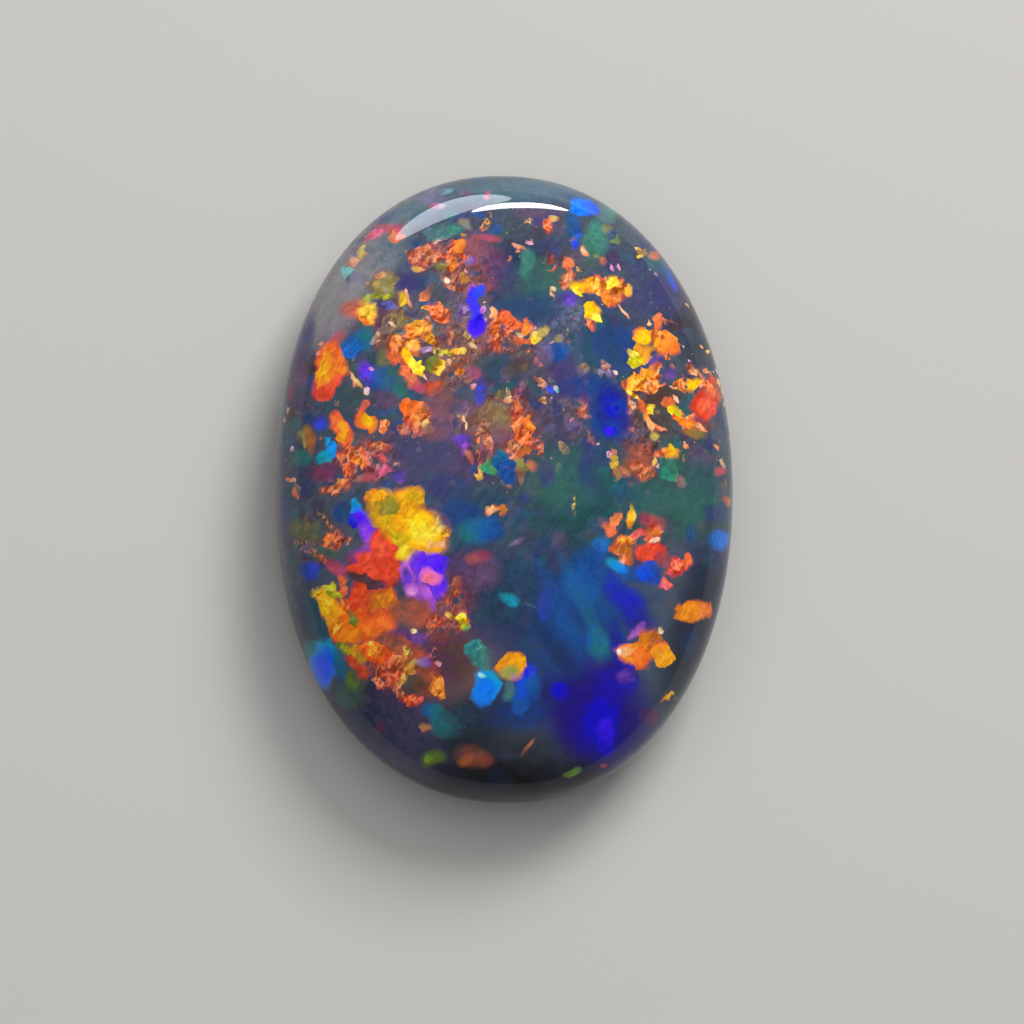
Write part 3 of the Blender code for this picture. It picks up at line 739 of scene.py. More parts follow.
LOWER_RIGHT = [
    Flake(698, 492, 30, 26, 70, F.JADE, F.SEA, S, 0.8),
    # Painted shade on the right rim
    Flake(705, 585, 40, 22, 80, F.PAINTED_SHADE_GREY, F.NIGHT, S, 0.6),
    Flake(640, 500, 30, 18, 0, F.SEA, F.JADE, S, 0.7),
    Flake(597, 610, 50, 40, 0, F.COBALT, F.DENIM, S, 0.9),
    Flake(585, 575, 26, 18, 60, F.SKY, F.COBALT, S, 0.9),
    Flake(599, 642, 18, 11, -60, F.SKY, F.TEAL, S, 0.9),
    Flake(558, 605, 46, 8, -64, F.COBALT, F.SKY, S, 0.5),
    Flake(582, 600, 50, 7, -66, F.SKY, F.TEAL, S, 0.45),
    Flake(606, 610, 44, 7, -60, F.SKY, F.COBALT, S, 0.5),
    Flake(560, 655, 34, 9, -55, F.NAVY, F.NIGHT, S, 0.6),
    Flake(631, 607, 34, 13, -54, F.ULTRAMARINE, F.INK, S, 0.7),
    Flake(622, 655, 34, 9, -74, F.INK, F.ULTRAMARINE, S, 0.7),
    Flake(628, 592, 15, 5, -52, F.COBALT, F.ULTRAMARINE, S, 0.5),
    Flake(600, 549, 12, 8, 60, F.COBALT, F.AZURE, S, 0.5),
    Flake(588, 720, 35, 28, -80, F.INK, F.INK, S),
    Flake(610, 688, 30, 14, 80, F.ULTRAMARINE, F.INK, S, 0.8),
    Flake(596, 722, 32, 22, -80, F.INK, F.ULTRAMARINE, S, 0.5),
    Flake(600, 722, 24, 18, -80, F.ULTRAMARINE, F.ULTRAMARINE, K, 0.75),
    Flake(607, 736, 19, 9, 84, F.ULTRAMARINE, F.ELECTRIC, K, 0.7),
    Flake(628, 676, 10, 7, 0, F.PURPLE, F.INK, S, 0.7),
    Flake(615, 467, 13, 4.5, -75, F.MUSTARD, F.KHAKI, C, 0.9),
    Flake(622, 473, 8, 5, 0, F.BROWN, F.SALMON, S, 0.8),
    Flake(637, 460, 14, 13, 0, F.BROWN, F.RUST, S, 0.8),
    Flake(646, 446, 10, 7, -60, F.BROWN, F.RUST, W),
    Flake(642, 471, 12, 9, 0, F.RUST, F.AMBER, R, 0.85),
    Flake(655, 462, 5, 2.2, 70, F.SALMON, F.STRAW, C, 0.95),
    Flake(662, 455, 8, 3.5, 0, F.SALMON, F.FLAME, R, 0.95),
    Flake(666, 471, 13, 10, 60, F.EMERALD, F.JADE, C, 0.95),
    Flake(671, 453, 8, 5, -20, F.TANGERINE, F.MUSTARD),
    Flake(671, 449, 3.5, 4, 0, F.YELLOW, F.LIME, C, 0.9),
    Flake(680, 480, 5, 6, 0, F.BRICK, F.HAZE, S, 0.7),
    Flake(719, 471, 5, 4, 0, F.BRICK, F.ROSE, S, 0.9),
    Flake(727, 502, 5, 4.5, -40, F.RUST, F.SALMON, S, 0.8),
    Flake(718, 513, 13, 9, 0, F.INDIGO, F.DENIM, S, 0.8),
    Flake(720, 540, 10, 9, 0, F.SKY, F.AZURE, S, 0.9),
    Flake(614, 522, 13, 4.5, 72, F.FLAME, F.SALMON),
    Flake(609, 531, 9, 6, -30, F.SALMON, F.CORAL),
    Flake(629, 518, 11, 4.5, 78, F.TANGERINE, F.LIME),
    Flake(632, 514, 4, 3.5, 0, F.GOLD, F.STRAW, C, 0.95),
    Flake(651, 521, 11, 6, -20, F.WINE, F.BRICK, S),
    Flake(651, 534, 12, 11, 60, F.SCARLET, F.CORAL, R),
    Flake(652, 533, 6.5, 6, 0, F.RUST, F.AMBER, C, 0.95),
    Flake(655, 541, 5, 2.5, 0, F.PEACH, F.GLINT_CREAM, C, 0.95),
    Flake(638, 533, 8, 4, 40, F.CORAL, F.ROSE, C, 0.95),
    Flake(622, 551, 13, 9, -70, F.RUST, F.AMBER),
    Flake(626, 541, 11, 5, 0, F.GOLD, F.TANGERINE, R),
    Flake(620, 558, 6.5, 5, -40, F.PEACH, F.CORAL, R),
    Flake(651, 553, 17, 11, -5, F.SCARLET, F.EMBER, M),
    Flake(662, 560, 8, 7, -40, F.WINE, F.BRICK, S, 0.8),
    Flake(632, 573, 20, 6, -16, F.SKY, F.COBALT, S, 0.8),
    Flake(616, 566, 11, 5, -20, F.TURQUOISE, F.AZURE, S, 0.85),
    Flake(649, 574, 14, 10, -20, F.SAPPHIRE, F.COBALT, K, 0.8),
    Flake(676, 568, 15, 8, 34, F.SCARLET, F.ROSE, C, 0.9),
    Flake(678, 567, 13, 7.5, 34, F.SCARLET, F.CORAL, R),
    Flake(687, 561, 7, 6, 30, F.FLAME, F.CORAL),
    Flake(666, 584, 6.5, 4.5, 10, F.PINK, F.CORAL),
    Flake(692, 612, 20, 11, 8, F.MARIGOLD, F.TANGERINE, M),
    Flake(703, 609, 9, 8, 0, F.TANGERINE, F.BLAZE, M, 0.8),
    Flake(638, 630, 10, 3, 42, F.ORCHID, F.PURPLE, S, 0.9),
    Flake(646, 645, 15, 17, 0, F.MARIGOLD, F.AMBER),
    Flake(638, 652, 22, 12, 8, F.TANGERINE, F.MARIGOLD, M),
    Flake(636, 658, 14, 7, -32, F.FLAME, F.BLAZE, C, 0.9),
    Flake(625, 651, 8, 5, 20, F.PEACH, F.TANGERINE, M, 0.9),
    Flake(619, 652, 3, 2.5, 20, F.GLINT_CREAM, F.GLINT_CREAM),
    Flake(658, 640, 8, 7, -40, F.AMBER, F.RUST, C, 0.95),
    Flake(663, 655, 12, 11, -35, F.TANGERINE, F.GOLD, M),
    Flake(661, 633, 3.5, 4.5, 0, F.STRAW, F.GLINT_CREAM),
    Flake(669, 698, 7.5, 3.8, 35, F.RUST, F.YELLOW),
    Flake(648, 716, 10, 8, 0, F.PLUM, F.WINE, S, 0.5),
    Flake(603, 766, 3.5, 2.5, 0, F.WINE, F.ROSE, S, 0.9),
]

FLAKES = [
    *GROUND,
    *WEBS,
    *TOP_LEFT,
    *TOP_MIDDLE,
    *TOP_RIGHT,
    *RIGHT,
    *LEFT,
    *CENTRE,
    *LOWER_LEFT,
    *BOTTOM_LEFT,
    *LOWER_MIDDLE,
    *LOWER_RIGHT,
]


MADE_GROUPS: dict[str, bpy.types.NodeTree] = {}


class NodeWriter:
    """Adds nodes to one node tree. A value given to a node is a number, a vector or another node's output."""

    def __init__(self, tree: bpy.types.NodeTree) -> None:
        """Keeps the tree that the nodes go into.

        Args:
            tree: the shader or geometry tree.
        """
        self.tree = tree

    def add(self, kind: str, **settings: Any) -> bpy.types.Node:
        """Adds one node.

        Args:
            kind: the node type's name.
            settings: the node's own properties.

        Returns:
            The new node.
        """
        node = self.tree.nodes.new(kind)
        for name, value in settings.items():
            setattr(node, name, value)
        return node

    def feed(self, socket: bpy.types.NodeSocket, value: Any) -> None:
        """Links an output to the socket, or sets the socket's own value.

        Args:
            socket: the input to feed.
            value: a node's output, a number, a vector or a colour.
        """
        if isinstance(value, bpy.types.NodeSocket):
            self.tree.links.new(value, socket)
        else:
            socket.default_value = value

    def fill(self, node: bpy.types.Node, **values: Any) -> bpy.types.Node:
        """Feeds several inputs of one node.

        Args:
            node: the node.
            values: what to feed, by the input's name with _ for a space.

        Returns:
            The same node.
        """
        for name, value in values.items():
            self.feed(node.inputs[name.replace("_", " ")], value)
        return node

    def math(self, operation: str, *values: Any) -> bpy.types.NodeSocket:
        """Adds one Math node, fed in order.

        Args:
            operation: the name of the sum.
            values: what goes into its inputs.

        Returns:
            The output that holds the answer.
        """
        node = self.add("ShaderNodeMath", operation=operation)
        for socket, value in zip(node.inputs, values):
            self.feed(socket, value)
        return node.outputs[0]

    def vector(self, operation: str, *values: Any) -> bpy.types.NodeSocket:
        """Adds one Vector Math node, fed in order.

        Args:
            operation: the name of the sum.
            values: what goes into its inputs.

        Returns:
            The output that holds the answer, which is a number for a dot product.
        """
        node = self.add("ShaderNodeVectorMath", operation=operation)
        sockets = node.inputs
        if operation == "SCALE":
            sockets = [node.inputs["Vector"], node.inputs["Scale"]]
        for socket, value in zip(sockets, values):
            self.feed(socket, value)
        return node.outputs["Value" if operation == "DOT_PRODUCT" else "Vector"]

    def span(
        self, value: Any, low: Any, high: Any, start: float = 0.0, end: float = 1.0
    ) -> bpy.types.NodeSocket:
        """Turns low..high into start..end along a smooth step, held at both ends.

        Args:
            value: what is read.
            low: where the step starts. It may be above high.
            high: where the step ends.
            start: the answer at low.
            end: the answer at high.

        Returns:
            The stepped value.
        """
        node = self.add("ShaderNodeMapRange", interpolation_type="SMOOTHSTEP")
        self.fill(node, Value=value, From_Min=low, From_Max=high, To_Min=start, To_Max=end)
        return node.outputs[0]

    def blend(self, share: Any, first: Any, second: Any, how: str = "MIX") -> bpy.types.NodeSocket:
        """Mixes two colours.

        Args:
            share: how much of the second shows, from 0 to 1.
            first: the colour at 0.
            second: the colour at 1.
            how: the name of the way of mixing.

        Returns:
            The mixed colour.
        """
        node = self.add("ShaderNodeMix", data_type="RGBA", blend_type=how)
        node.clamp_factor = True
        node.clamp_result = True
        for index, value in ((0, share), (6, first), (7, second)):
            self.feed(node.inputs[index], value)
        return node.outputs[2]

    def lerp(self, share: Any, first: Any, second: Any) -> bpy.types.NodeSocket:
        """Mixes two numbers.

        Args:
            share: how much of the second counts, from 0 to 1.
            first: the number at 0.
            second: the number at 1.

        Returns:
            The mixed number.
        """
        node = self.add("ShaderNodeMix", data_type="FLOAT", clamp_factor=True)
        for index, value in ((0, share), (2, first), (3, second)):
            self.feed(node.inputs[index], value)
        return node.outputs[0]

    def slide(self, share: Any, first: Any, second: Any) -> bpy.types.NodeSocket:
        """Mixes two vectors.

        Args:
            share: how much of the second counts, from 0 to 1.
            first: the vector at 0.
            second: the vector at 1.

        Returns:
            The mixed vector.
        """
        node = self.add("ShaderNodeMix", data_type="VECTOR", clamp_factor=True)
        for index, value in ((0, share), (4, first), (5, second)):
            self.feed(node.inputs[index], value)
        return node.outputs[1]

    def noise(
        self, place: Any, scale: float, detail: float = 2.0, rough: float = 0.5, twist: float = 0.0
    ) -> bpy.types.Node:
        """A solid noise texture read at place."""
        node = self.add("ShaderNodeTexNoise", noise_dimensions="3D")
        return self.fill(node, Vector=place, Scale=scale, Detail=detail, Roughness=rough, Distortion=twist)

    def cells(self, place: Any, scale: float) -> bpy.types.Node:
        """A solid mosaic of irregular cells read at place."""
        node = self.add("ShaderNodeTexVoronoi", voronoi_dimensions="3D", feature="F1")
        return self.fill(node, Vector=place, Scale=scale)

    def split(self, colour: Any) -> list[bpy.types.NodeSocket]:
        """Takes a colour apart.

        Args:
            colour: the colour.

        Returns:
            Its red, green and blue, as three numbers.
        """
        node = self.add("ShaderNodeSeparateColor")
        self.feed(node.inputs[0], colour)
        return list(node.outputs)

    def ramp(self, share: Any, shades: list[Fire]) -> bpy.types.NodeSocket:
        """A run through the shades, evenly spaced, read at share.

        Args:
            share: the place in the run, from 0 to 1.
            shades: the colours in order.

        Returns:
            The colour there.
        """
        node = self.add("ShaderNodeValToRGB")
        stops = node.color_ramp.elements
        while len(stops) < len(shades):
            stops.new(0.5)
        for step, shade in enumerate(shades):
            stops[step].position = step / (len(shades) - 1)
            stops[step].color = shade.colour()
        self.feed(node.inputs[0], share)
        return node.outputs[0]

    def use(self, maker: Callable[[], bpy.types.NodeTree]) -> bpy.types.Node:
        """A node that holds the group made by maker, which is made the first time only.

        Args:
            maker: the method that makes the group.

        Returns:
            The group's node.
        """
        if maker.__name__ not in MADE_GROUPS:
            MADE_GROUPS[maker.__name__] = maker()
        return self.add("ShaderNodeGroup", node_tree=MADE_GROUPS[maker.__name__])


def new_group(
    name: str, kind: str, inputs: dict[str, str], outputs: dict[str, str]
) -> tuple[bpy.types.NodeTree, NodeWriter, bpy.types.Node, bpy.types.Node]:
    """Makes an empty node group with named sockets.

    Args:
        name: the group's name.
        kind: the tree type's name.
        inputs: each input's name and the last word of its socket type.
        outputs: the same for the outputs.

    Returns:
        The tree, a writer for it, the group's input node and its output node.
    """
    tree = bpy.data.node_groups.new(name, kind)
    for title, sort in inputs.items():
        tree.interface.new_socket(title, in_out="INPUT", socket_type="NodeSocket" + sort)
    for title, sort in outputs.items():
        tree.interface.new_socket(title, in_out="OUTPUT", socket_type="NodeSocket" + sort)
    writer = NodeWriter(tree)
    return tree, writer, writer.add("NodeGroupInput"), writer.add("NodeGroupOutput")


@dataclass(frozen=True)
class PictureView:
    """The main camera, and how its picture lies on the stone.

    Angles are in degrees, the lens and the sensor in mm, and the stone's middle in pixels of the picture.
    """

    azimuth: float = -30.0
    elevation: float = 78.0
    lens: float = 150.0
    sensor: float = 36.0
    nearest: float = 1 * MM
    farthest: float = 10.0
    pixels_per_mm: float = 57.3
    stone_across: float = 505.0
    stone_down: float = 486.5
    girdle_height: float = 1.2 * MM

    def axes(self) -> Matrix:
        """The way the picture faces.

        Returns:
            A turn whose columns point rightwards, upwards and towards the camera.
        """
        a, e = math.radians(self.azimuth), math.radians(self.elevation)
        back = Vector((math.sin(a) * math.cos(e), -math.cos(a) * math.cos(e), math.sin(e)))
        up = Vector((0, 1, 0)) - back * back.y
        up.normalize()
        return Matrix((up.cross(back), up, back)).transposed()

    def distance(self) -> float:
        """How far the camera stands from the stone's middle."""
        return PICTURE_SIZE / self.pixels_per_mm * MM * self.lens / self.sensor

    def eye(self) -> Vector:
        """Works out where the camera stands.

        Returns:
            The camera's place.
        """
        axes = self.axes()
        half = PICTURE_SIZE / 2
        aside = (half - self.stone_across) / self.pixels_per_mm * MM
        upward = (self.stone_down - half) / self.pixels_per_mm * MM
        middle = Vector((0, 0, self.girdle_height))
        return middle + axes @ Vector((aside, upward, self.distance()))

    def ray(self, across: float, down: float) -> Vector:
        """Looks from the camera through a point of the picture.

        Args:
            across: pixels from the picture's left edge.
            down: pixels from its top edge.

        Returns:
            The direction, of length 1.
        """
        half = PICTURE_SIZE / 2
        width = self.sensor / self.lens / PICTURE_SIZE
        return (self.axes() @ Vector(((across - half) * width, (half - down) * width, -1))).normalized()

    def place_camera(self) -> bpy.types.Object:
        """Makes the scene's camera.

        Returns:
            The camera object.
        """
        camera = bpy.data.cameras.new("picture_camera")
        camera.lens = self.lens
        camera.sensor_width = self.sensor
        camera.clip_start = self.nearest
        camera.clip_end = self.farthest
        seat = bpy.data.objects.new("picture_camera", camera)
        seat.matrix_world = Matrix.Translation(self.eye()) @ self.axes().to_4x4()
        bpy.context.scene.collection.objects.link(seat)
        bpy.context.scene.camera = seat
        return seat


@dataclass(frozen=True)
class Warp:
    """A random bending of the pattern: its noise, and the most that it moves a place, in mm."""

    scale: float
    detail: float
    amount: float


@dataclass(frozen=True)
class Grain:
    """A noise texture: its scale per mm, its detail, its roughness and its distortion."""

    scale: float
    detail: float
    rough: float = 0.5
    twist: float = 0.0


@dataclass(frozen=True)
class Step:
    """A smooth step from one value to the other, where start may be above end."""

    start: float
    end: float


@dataclass(frozen=True)
class Mosaic:
    """A layer of irregular cells: cells per mm, how large or strong each is, and how few of them show."""

    scale: float
    reach: float
    rare: float = 0.0


@dataclass(frozen=True)
class OpalFinish:
    """The opal's substance: cloudy dark ground, mosaics of fire in it, and the gloss of the polish.

    Sizes of patterns are in mm, and the widths from which a flake is made of shards or splinters in pixels.
    """

    view: PictureView

    # How the pattern is bent, and the shards and splinters that flakes break up into
    slow_warp: Warp = Warp(2.3, 2.0, 0.10)
    fast_warp: Warp = Warp(11.0, 1.0, 0.025)
    shard: float = 0.24
    splinter: float = 0.12
    shard_from: float = 6.5
    splinter_from: float = 3.1
    snap: float = 0.55
    ease: float = 0.26

    # The foil's uneven colour, and the patterns that wisps and ragged flakes are broken by
    foil: Grain = Grain(1 / 0.085, 2.0, 0.6, 0.4)
    foil_gain: float = 1.5
    foil_base: float = -0.45
    foil_chance: float = 0.4
    wisp: Grain = Grain(7.0, 3.0, 0.6, 0.8)
    wisp_step: Step = Step(0.07, 0.01)
    gap: Grain = Grain(9.0, 1.0)
    gap_step: Step = Step(0.30, 0.42)

    # The creases: which way they lie, and the painted light and painted shade that they lay on what they
    # cross
    crease_turn: float = 66.0
    crease_stretch: float = 1.7
    crease: Grain = Grain(6.0, 3.0, 0.62, 0.5)
    crease_step: float = 0.035
    crease_gain: float = 3.6
    tone: float = 0.35
    pit_step: Step = Step(0.52, 0.05)
    pit_shade: float = 0.8
    line_step: Step = Step(0.48, 0.95)
    ridge_highlight: float = 0.8
    pale_step: Step = Step(0.45, 0.9)
    ridge_pale_highlight: float = 0.25
    ground_fold_shade: float = 0.36
    rim_from: float = 0.25
    rim_shade: tuple[float, float, float, float] = (0.86, 0.52, 0.62, 1.0)
    fold_shade_colour: tuple[float, float, float, float] = (0.30, 0.15, 0.14, 1.0)

    # The faint mosaic in the ground and the crumbs, and how far along the stone they are busy
    facet_layers: tuple[Mosaic, ...] = (Mosaic(1.7, 0.75), Mosaic(3.8, 0.7))
    facet_step: Step = Step(0.85, 0.2)
    facet_chance: Step = Step(0.1, 0.7)
    spark_layers: tuple[Mosaic, ...] = (Mosaic(5.3, 0.32, 0.82), Mosaic(10.5, 0.42, 0.84))
    spark_full: float = 0.05
    busy_step: Step = Step(-3.4, 0.4)
    least_busy: float = 0.12
    spark_start: Step = Step(-0.2, 1.2)
    spark_stop: Step = Step(4.9, 4.3)

    # The dull stone below the girdle
    potch_from: float = 0.8 * MM
    potch_to: float = 1.15 * MM
    potch_cloud: Grain = Grain(1.2, 3.0)
    potch_cells: Mosaic = Mosaic(1.4, 1.0, 0.72)
    potch_step: Step = Step(0.42, 0.30)
    potch_foil: Step = Step(0.2, 0.8)
    potch_weak: float = 0.2
    potch_strong: float = 0.9

    # The polish
    skin: Grain = Grain(2.6, 2.0)
    skin_depth: float = 0.02
    roughness: Step = Step(0.7, 0.4)
    coat_gloss: float = 0.03
    coat_index: float = 1.45

    def flake_group(self) -> bpy.types.NodeTree:
        """The node group that lays one flake over what is under it.

        Returns:
            The shader group.
        """
        inputs = {
            "Place": "Vector",
            "Along": "Vector",
            "Across": "Vector",
            "Along Middle": "Float",
            "Across Middle": "Float",
            "Inner": "Float",
            "Outer": "Float",
            "Cover": "Float",
            "Foil": "Float",
            "Near": "Color",
            "Far": "Color",
            "Colour": "Color",
            "Fire": "Float",
            "Glow": "Float",
            "Rim": "Float",
        }
        outputs = {"Colour": "Color", "Fire": "Float"}
        tree, write, given, made = new_group("opal_flake", "ShaderNodeTree", inputs, outputs)
        take = given.outputs
        along = write.vector("DOT_PRODUCT", take["Place"], take["Along"])
        along = write.math("SUBTRACT", along, take["Along Middle"])
        across = write.vector("DOT_PRODUCT", take["Place"], take["Across"])
        across = write.math("SUBTRACT", across, take["Across Middle"])
        reach = write.math("MULTIPLY_ADD", along, along, write.math("MULTIPLY", across, across))
        cover = write.span(reach, take["Outer"], take["Inner"])
        cover = write.math("MULTIPLY", cover, take["Cover"])
        run = write.math("MULTIPLY_ADD", along, 0.5, take["Foil"])
        shade = write.blend(run, take["Near"], take["Far"])
        rim = write.math("MULTIPLY", write.span(reach, self.rim_from, take["Outer"]), take["Rim"])
        shade = write.blend(rim, shade, self.rim_shade, "MULTIPLY")
        write.feed(made.inputs["Colour"], write.blend(cover, take["Colour"], shade))
        write.feed(made.inputs["Fire"], write.lerp(cover, take["Fire"], take["Glow"]))
        return tree

    def bend(self, write: NodeWriter, place: Any, warp: Warp) -> bpy.types.NodeSocket:
        """Makes a random push that changes over the place.

        Args:
            write: the writer of the tree.
            place: where the noise is read, in mm.
            warp: the noise and its strength.

        Returns:
            The push, in mm.
        """
        push = write.noise(place, warp.scale, warp.detail).outputs["Color"]
        push = write.vector("SUBTRACT", push, (0.5, 0.5, 0.5))
        return write.vector("SCALE", push, 2 * warp.amount)

    def grain(self, write: NodeWriter, place: Any, grain: Grain) -> bpy.types.NodeSocket:
        """The value of a grain read at place."""
        return write.noise(place, grain.scale, grain.detail, grain.rough, grain.twist).outputs["Fac"]

    def step(self, write: NodeWriter, value: Any, step: Step) -> bpy.types.NodeSocket:
        """The value's place on a step, from 0 at its start to 1 at its end."""
        return write.span(value, step.start, step.end)

    def weave_group(self) -> bpy.types.NodeTree:
        """The node group that makes the bent and broken places and the fine patterns that every flake reads.

        Returns:
            The shader group.
        """
        outputs = {name: "Vector" for name in ("Drift", "Warped", "Coarse", "Fine", "Eased")}
        outputs |= {name: "Float" for name in ("Foil", "Wisps", "Breaks", "Relief", "Skin")}
        for layer in range(len(self.facet_layers)):
            outputs |= {"Facets %d" % layer: "Color", "Facet Share %d" % layer: "Float"}
        for layer in range(len(self.spark_layers)):
            outputs |= {"Sparks %d" % layer: "Color", "Spark Share %d" % layer: "Float"}
        outputs |= {"Busy": "Float"}
        tree, write, given, made = new_group("opal_weave", "ShaderNodeTree", {"Place": "Vector"}, outputs)
        place = given.outputs["Place"]
        drift = write.vector("ADD", place, self.bend(write, place, self.slow_warp))
        warped = write.vector("ADD", drift, self.bend(write, place, self.fast_warp))
        shards = write.cells(warped, 1 / self.shard)
        splinters = write.cells(warped, 1 / self.splinter)
        coarse = write.slide(self.snap, warped, shards.outputs["Position"])
        fine = write.slide(self.snap, warped, splinters.outputs["Position"])
        eased = write.slide(self.ease, warped, shards.outputs["Position"])
        chance = write.split(splinters.outputs["Color"])
        foil = self.grain(write, warped, self.foil)
        foil = write.math("MULTIPLY_ADD", foil, self.foil_gain, self.foil_base)
        foil = write.math("MULTIPLY_ADD", chance[0], self.foil_chance, foil)
        creased = write.add("ShaderNodeMapping", vector_type="TEXTURE")
        write.fill(creased, Vector=warped, Rotation=(0.0, 0.0, math.radians(self.crease_turn)))
        write.fill(creased, Scale=(self.crease_stretch, 1.0, 1.0))
        lie = creased.outputs[0]
        ridge = write.math("SUBTRACT", self.grain(write, lie, self.wisp), 0.5)
        wisps = self.step(write, write.math("ABSOLUTE", ridge), self.wisp_step)
        breaks = self.step(write, self.grain(write, fine, self.gap), self.gap_step)
        # Painted light and shade of the folds: the crease noise read at two nearby places lights one side of
        # each fold and darkens the other, and a random tone per splinter is added
        here = self.grain(write, lie, self.crease)
        there = write.vector("ADD", lie, (self.crease_step, self.crease_step, 0.0))
        there = self.grain(write, there, self.crease)
        fold_shading = write.math("MULTIPLY_ADD", write.math("SUBTRACT", here, there), self.crease_gain, 0.5)
        fold_shading = write.math("MULTIPLY_ADD", write.math("SUBTRACT", chance[1], 0.5), self.tone, fold_shading)
        fold_shading = write.math("MINIMUM", write.math("MAXIMUM", fold_shading, 0.0), 1.0)
        spread = write.add("ShaderNodeSeparateXYZ")
        write.feed(spread.inputs[0], drift)
        along = spread.outputs["Y"]
        busy = write.span(along, self.busy_step.start, self.busy_step.end, self.least_busy, 1.0)
        for layer, facets in enumerate(self.facet_layers):
            mosaic = write.cells(drift, facets.scale)
            chance = write.split(mosaic.outputs["Color"])
            share = self.step(write, mosaic.outputs["Distance"], self.facet_step)
            share = write.math("MULTIPLY", write.math("MULTIPLY", share, facets.reach), busy)
            share = write.math("MULTIPLY", share, self.step(write, chance[0], self.facet_chance))
            write.feed(made.inputs["Facets %d" % layer], write.ramp(chance[1], FACET_COLOURS))
            write.feed(made.inputs["Facet Share %d" % layer], share)
        upper = self.step(write, along, self.spark_start)
        upper = write.math("MULTIPLY", upper, self.step(write, along, self.spark_stop))
        for layer, crumbs in enumerate(self.spark_layers):
            sparks = write.cells(warped, crumbs.scale)
            chance = write.split(sparks.outputs["Color"])
            size = write.math("MULTIPLY", chance[2], crumbs.reach)
            share = write.span(sparks.outputs["Distance"], size, self.spark_full)
            share = write.math("MULTIPLY", share, write.math("GREATER_THAN", chance[0], crumbs.rare))
            write.feed(made.inputs["Sparks %d" % layer], write.ramp(chance[1], SPARK_COLOURS))
            write.feed(made.inputs["Spark Share %d" % layer], write.math("MULTIPLY", share, upper))
        write.fill(made, Skin=self.grain(write, place, self.skin), Busy=busy)
        write.fill(made, Drift=drift, Warped=warped, Coarse=coarse, Fine=fine, Eased=eased)
        write.fill(made, Foil=foil, Wisps=wisps, Breaks=breaks, Relief=fold_shading)
        return tree

    def fold_light_group(self) -> bpy.types.NodeTree:
        """The node group that paints light on one side of the foil's folds and painted shade on the other,
        with a pale painted highlight on the lit ridges of the strongest fire.

        Returns:
            The shader group.
        """
        inputs = {"Colour": "Color", "Fire": "Float", "Relief": "Float"}
        tree, write, given, made = new_group("opal_creases", "ShaderNodeTree", inputs, {"Colour": "Color"})
        colour, fire, fold_shading = (given.outputs[name] for name in inputs)
        fold_shaded = write.math("MULTIPLY", self.step(write, fold_shading, self.pit_step), fire)
        lights = write.math("MULTIPLY", self.step(write, fold_shading, self.line_step), fire)
        dark = write.blend(write.math("MULTIPLY", fold_shaded, self.pit_shade), colour, self.fold_shade_colour, "MULTIPLY")
        lit = write.blend(write.math("MULTIPLY", lights, self.ridge_highlight), dark, colour, "ADD")
        pale = write.span(fire, self.pale_step.start, self.pale_step.end, 0.0, self.ridge_pale_highlight)
        pale = write.math("MULTIPLY", lights, pale)
        pale = write.blend(pale, lit, Fire.PEACH.colour())
        write.feed(made.inputs["Colour"], pale)
        return tree

    def potch_group(self) -> bpy.types.NodeTree:
        """The node group for the dull dark stone below the girdle, with a few cells of fire showing through.

        Returns:
            The shader group.
        """
        inputs = {"Place": "Vector", "Foil": "Float", "Height": "Float", "Colour": "Color"}
        tree, write, given, made = new_group("opal_potch", "ShaderNodeTree", inputs, {"Colour": "Color"})
        place, foil = given.outputs["Place"], given.outputs["Foil"]
        dull = self.grain(write, place, self.potch_cloud)
        dull = write.blend(dull, Fire.POTCH.colour(), Fire.SLATE.colour())
        patch = write.cells(place, self.potch_cells.scale)
        chance = write.split(patch.outputs["Color"])
        hue = write.ramp(chance[1], POTCH_COLOURS)
        spark = write.math("GREATER_THAN", chance[0], self.potch_cells.rare)
        share = write.math("MULTIPLY", spark, self.step(write, patch.outputs["Distance"], self.potch_step))
        limits = self.potch_foil.start, self.potch_foil.end, self.potch_weak, self.potch_strong
        share = write.math("MULTIPLY", share, write.span(foil, *limits))
        low = write.blend(share, dull, hue)
        top = write.span(given.outputs["Height"], self.potch_from, self.potch_to)
        write.feed(made.inputs["Colour"], write.blend(top, low, given.outputs["Colour"]))
        return tree

    def lay(
        self, write: NodeWriter, flake: Flake, middle: Vector, weave: Any, under: tuple[Any, Any]
    ) -> tuple[Any, Any]:
        """Lays one flake over what is under it.

        Args:
            write: the writer of the material's tree.
            flake: the flake.
            middle: where it lies, in mm of the picture's axes.
            weave: the outputs of the weave group's node.
            under: the (colour, fire) below it.

        Returns:
            The new (colour, fire).
        """
        turn = math.radians(flake.turn)
        scale = self.view.pixels_per_mm
        along = Vector((math.cos(turn), math.sin(turn), 0)) * (scale / flake.length)
        across = Vector((-math.sin(turn), math.cos(turn), 0)) * (scale / flake.width)
        inner, outer = flake.edge.value
        mosaic = "Coarse" if flake.width >= self.shard_from else "Fine"
        if flake.width < self.splinter_from:
            mosaic = "Warped"
        read = PLACES.get(flake.edge, mosaic)
        broken = BROKEN_BY.get(flake.edge)
        cover = write.math("MULTIPLY", weave[broken], flake.strength) if broken else flake.strength
        glow = GLOW[flake.edge]
        node = write.use(self.flake_group)
        write.fill(node, Place=weave[read], Along=along, Across=across, Foil=weave["Foil"], Cover=cover)
        write.fill(node, Along_Middle=along.dot(middle), Across_Middle=across.dot(middle))
        write.fill(node, Inner=inner * inner, Outer=outer * outer)
        write.fill(node, Near=flake.near.colour(), Far=flake.far.colour())
        write.fill(node, Colour=under[0], Fire=under[1])
        write.fill(node, Glow=glow, Rim=WARM_RIM * glow if flake.warm() else glow)
        return node.outputs["Colour"], node.outputs["Fire"]

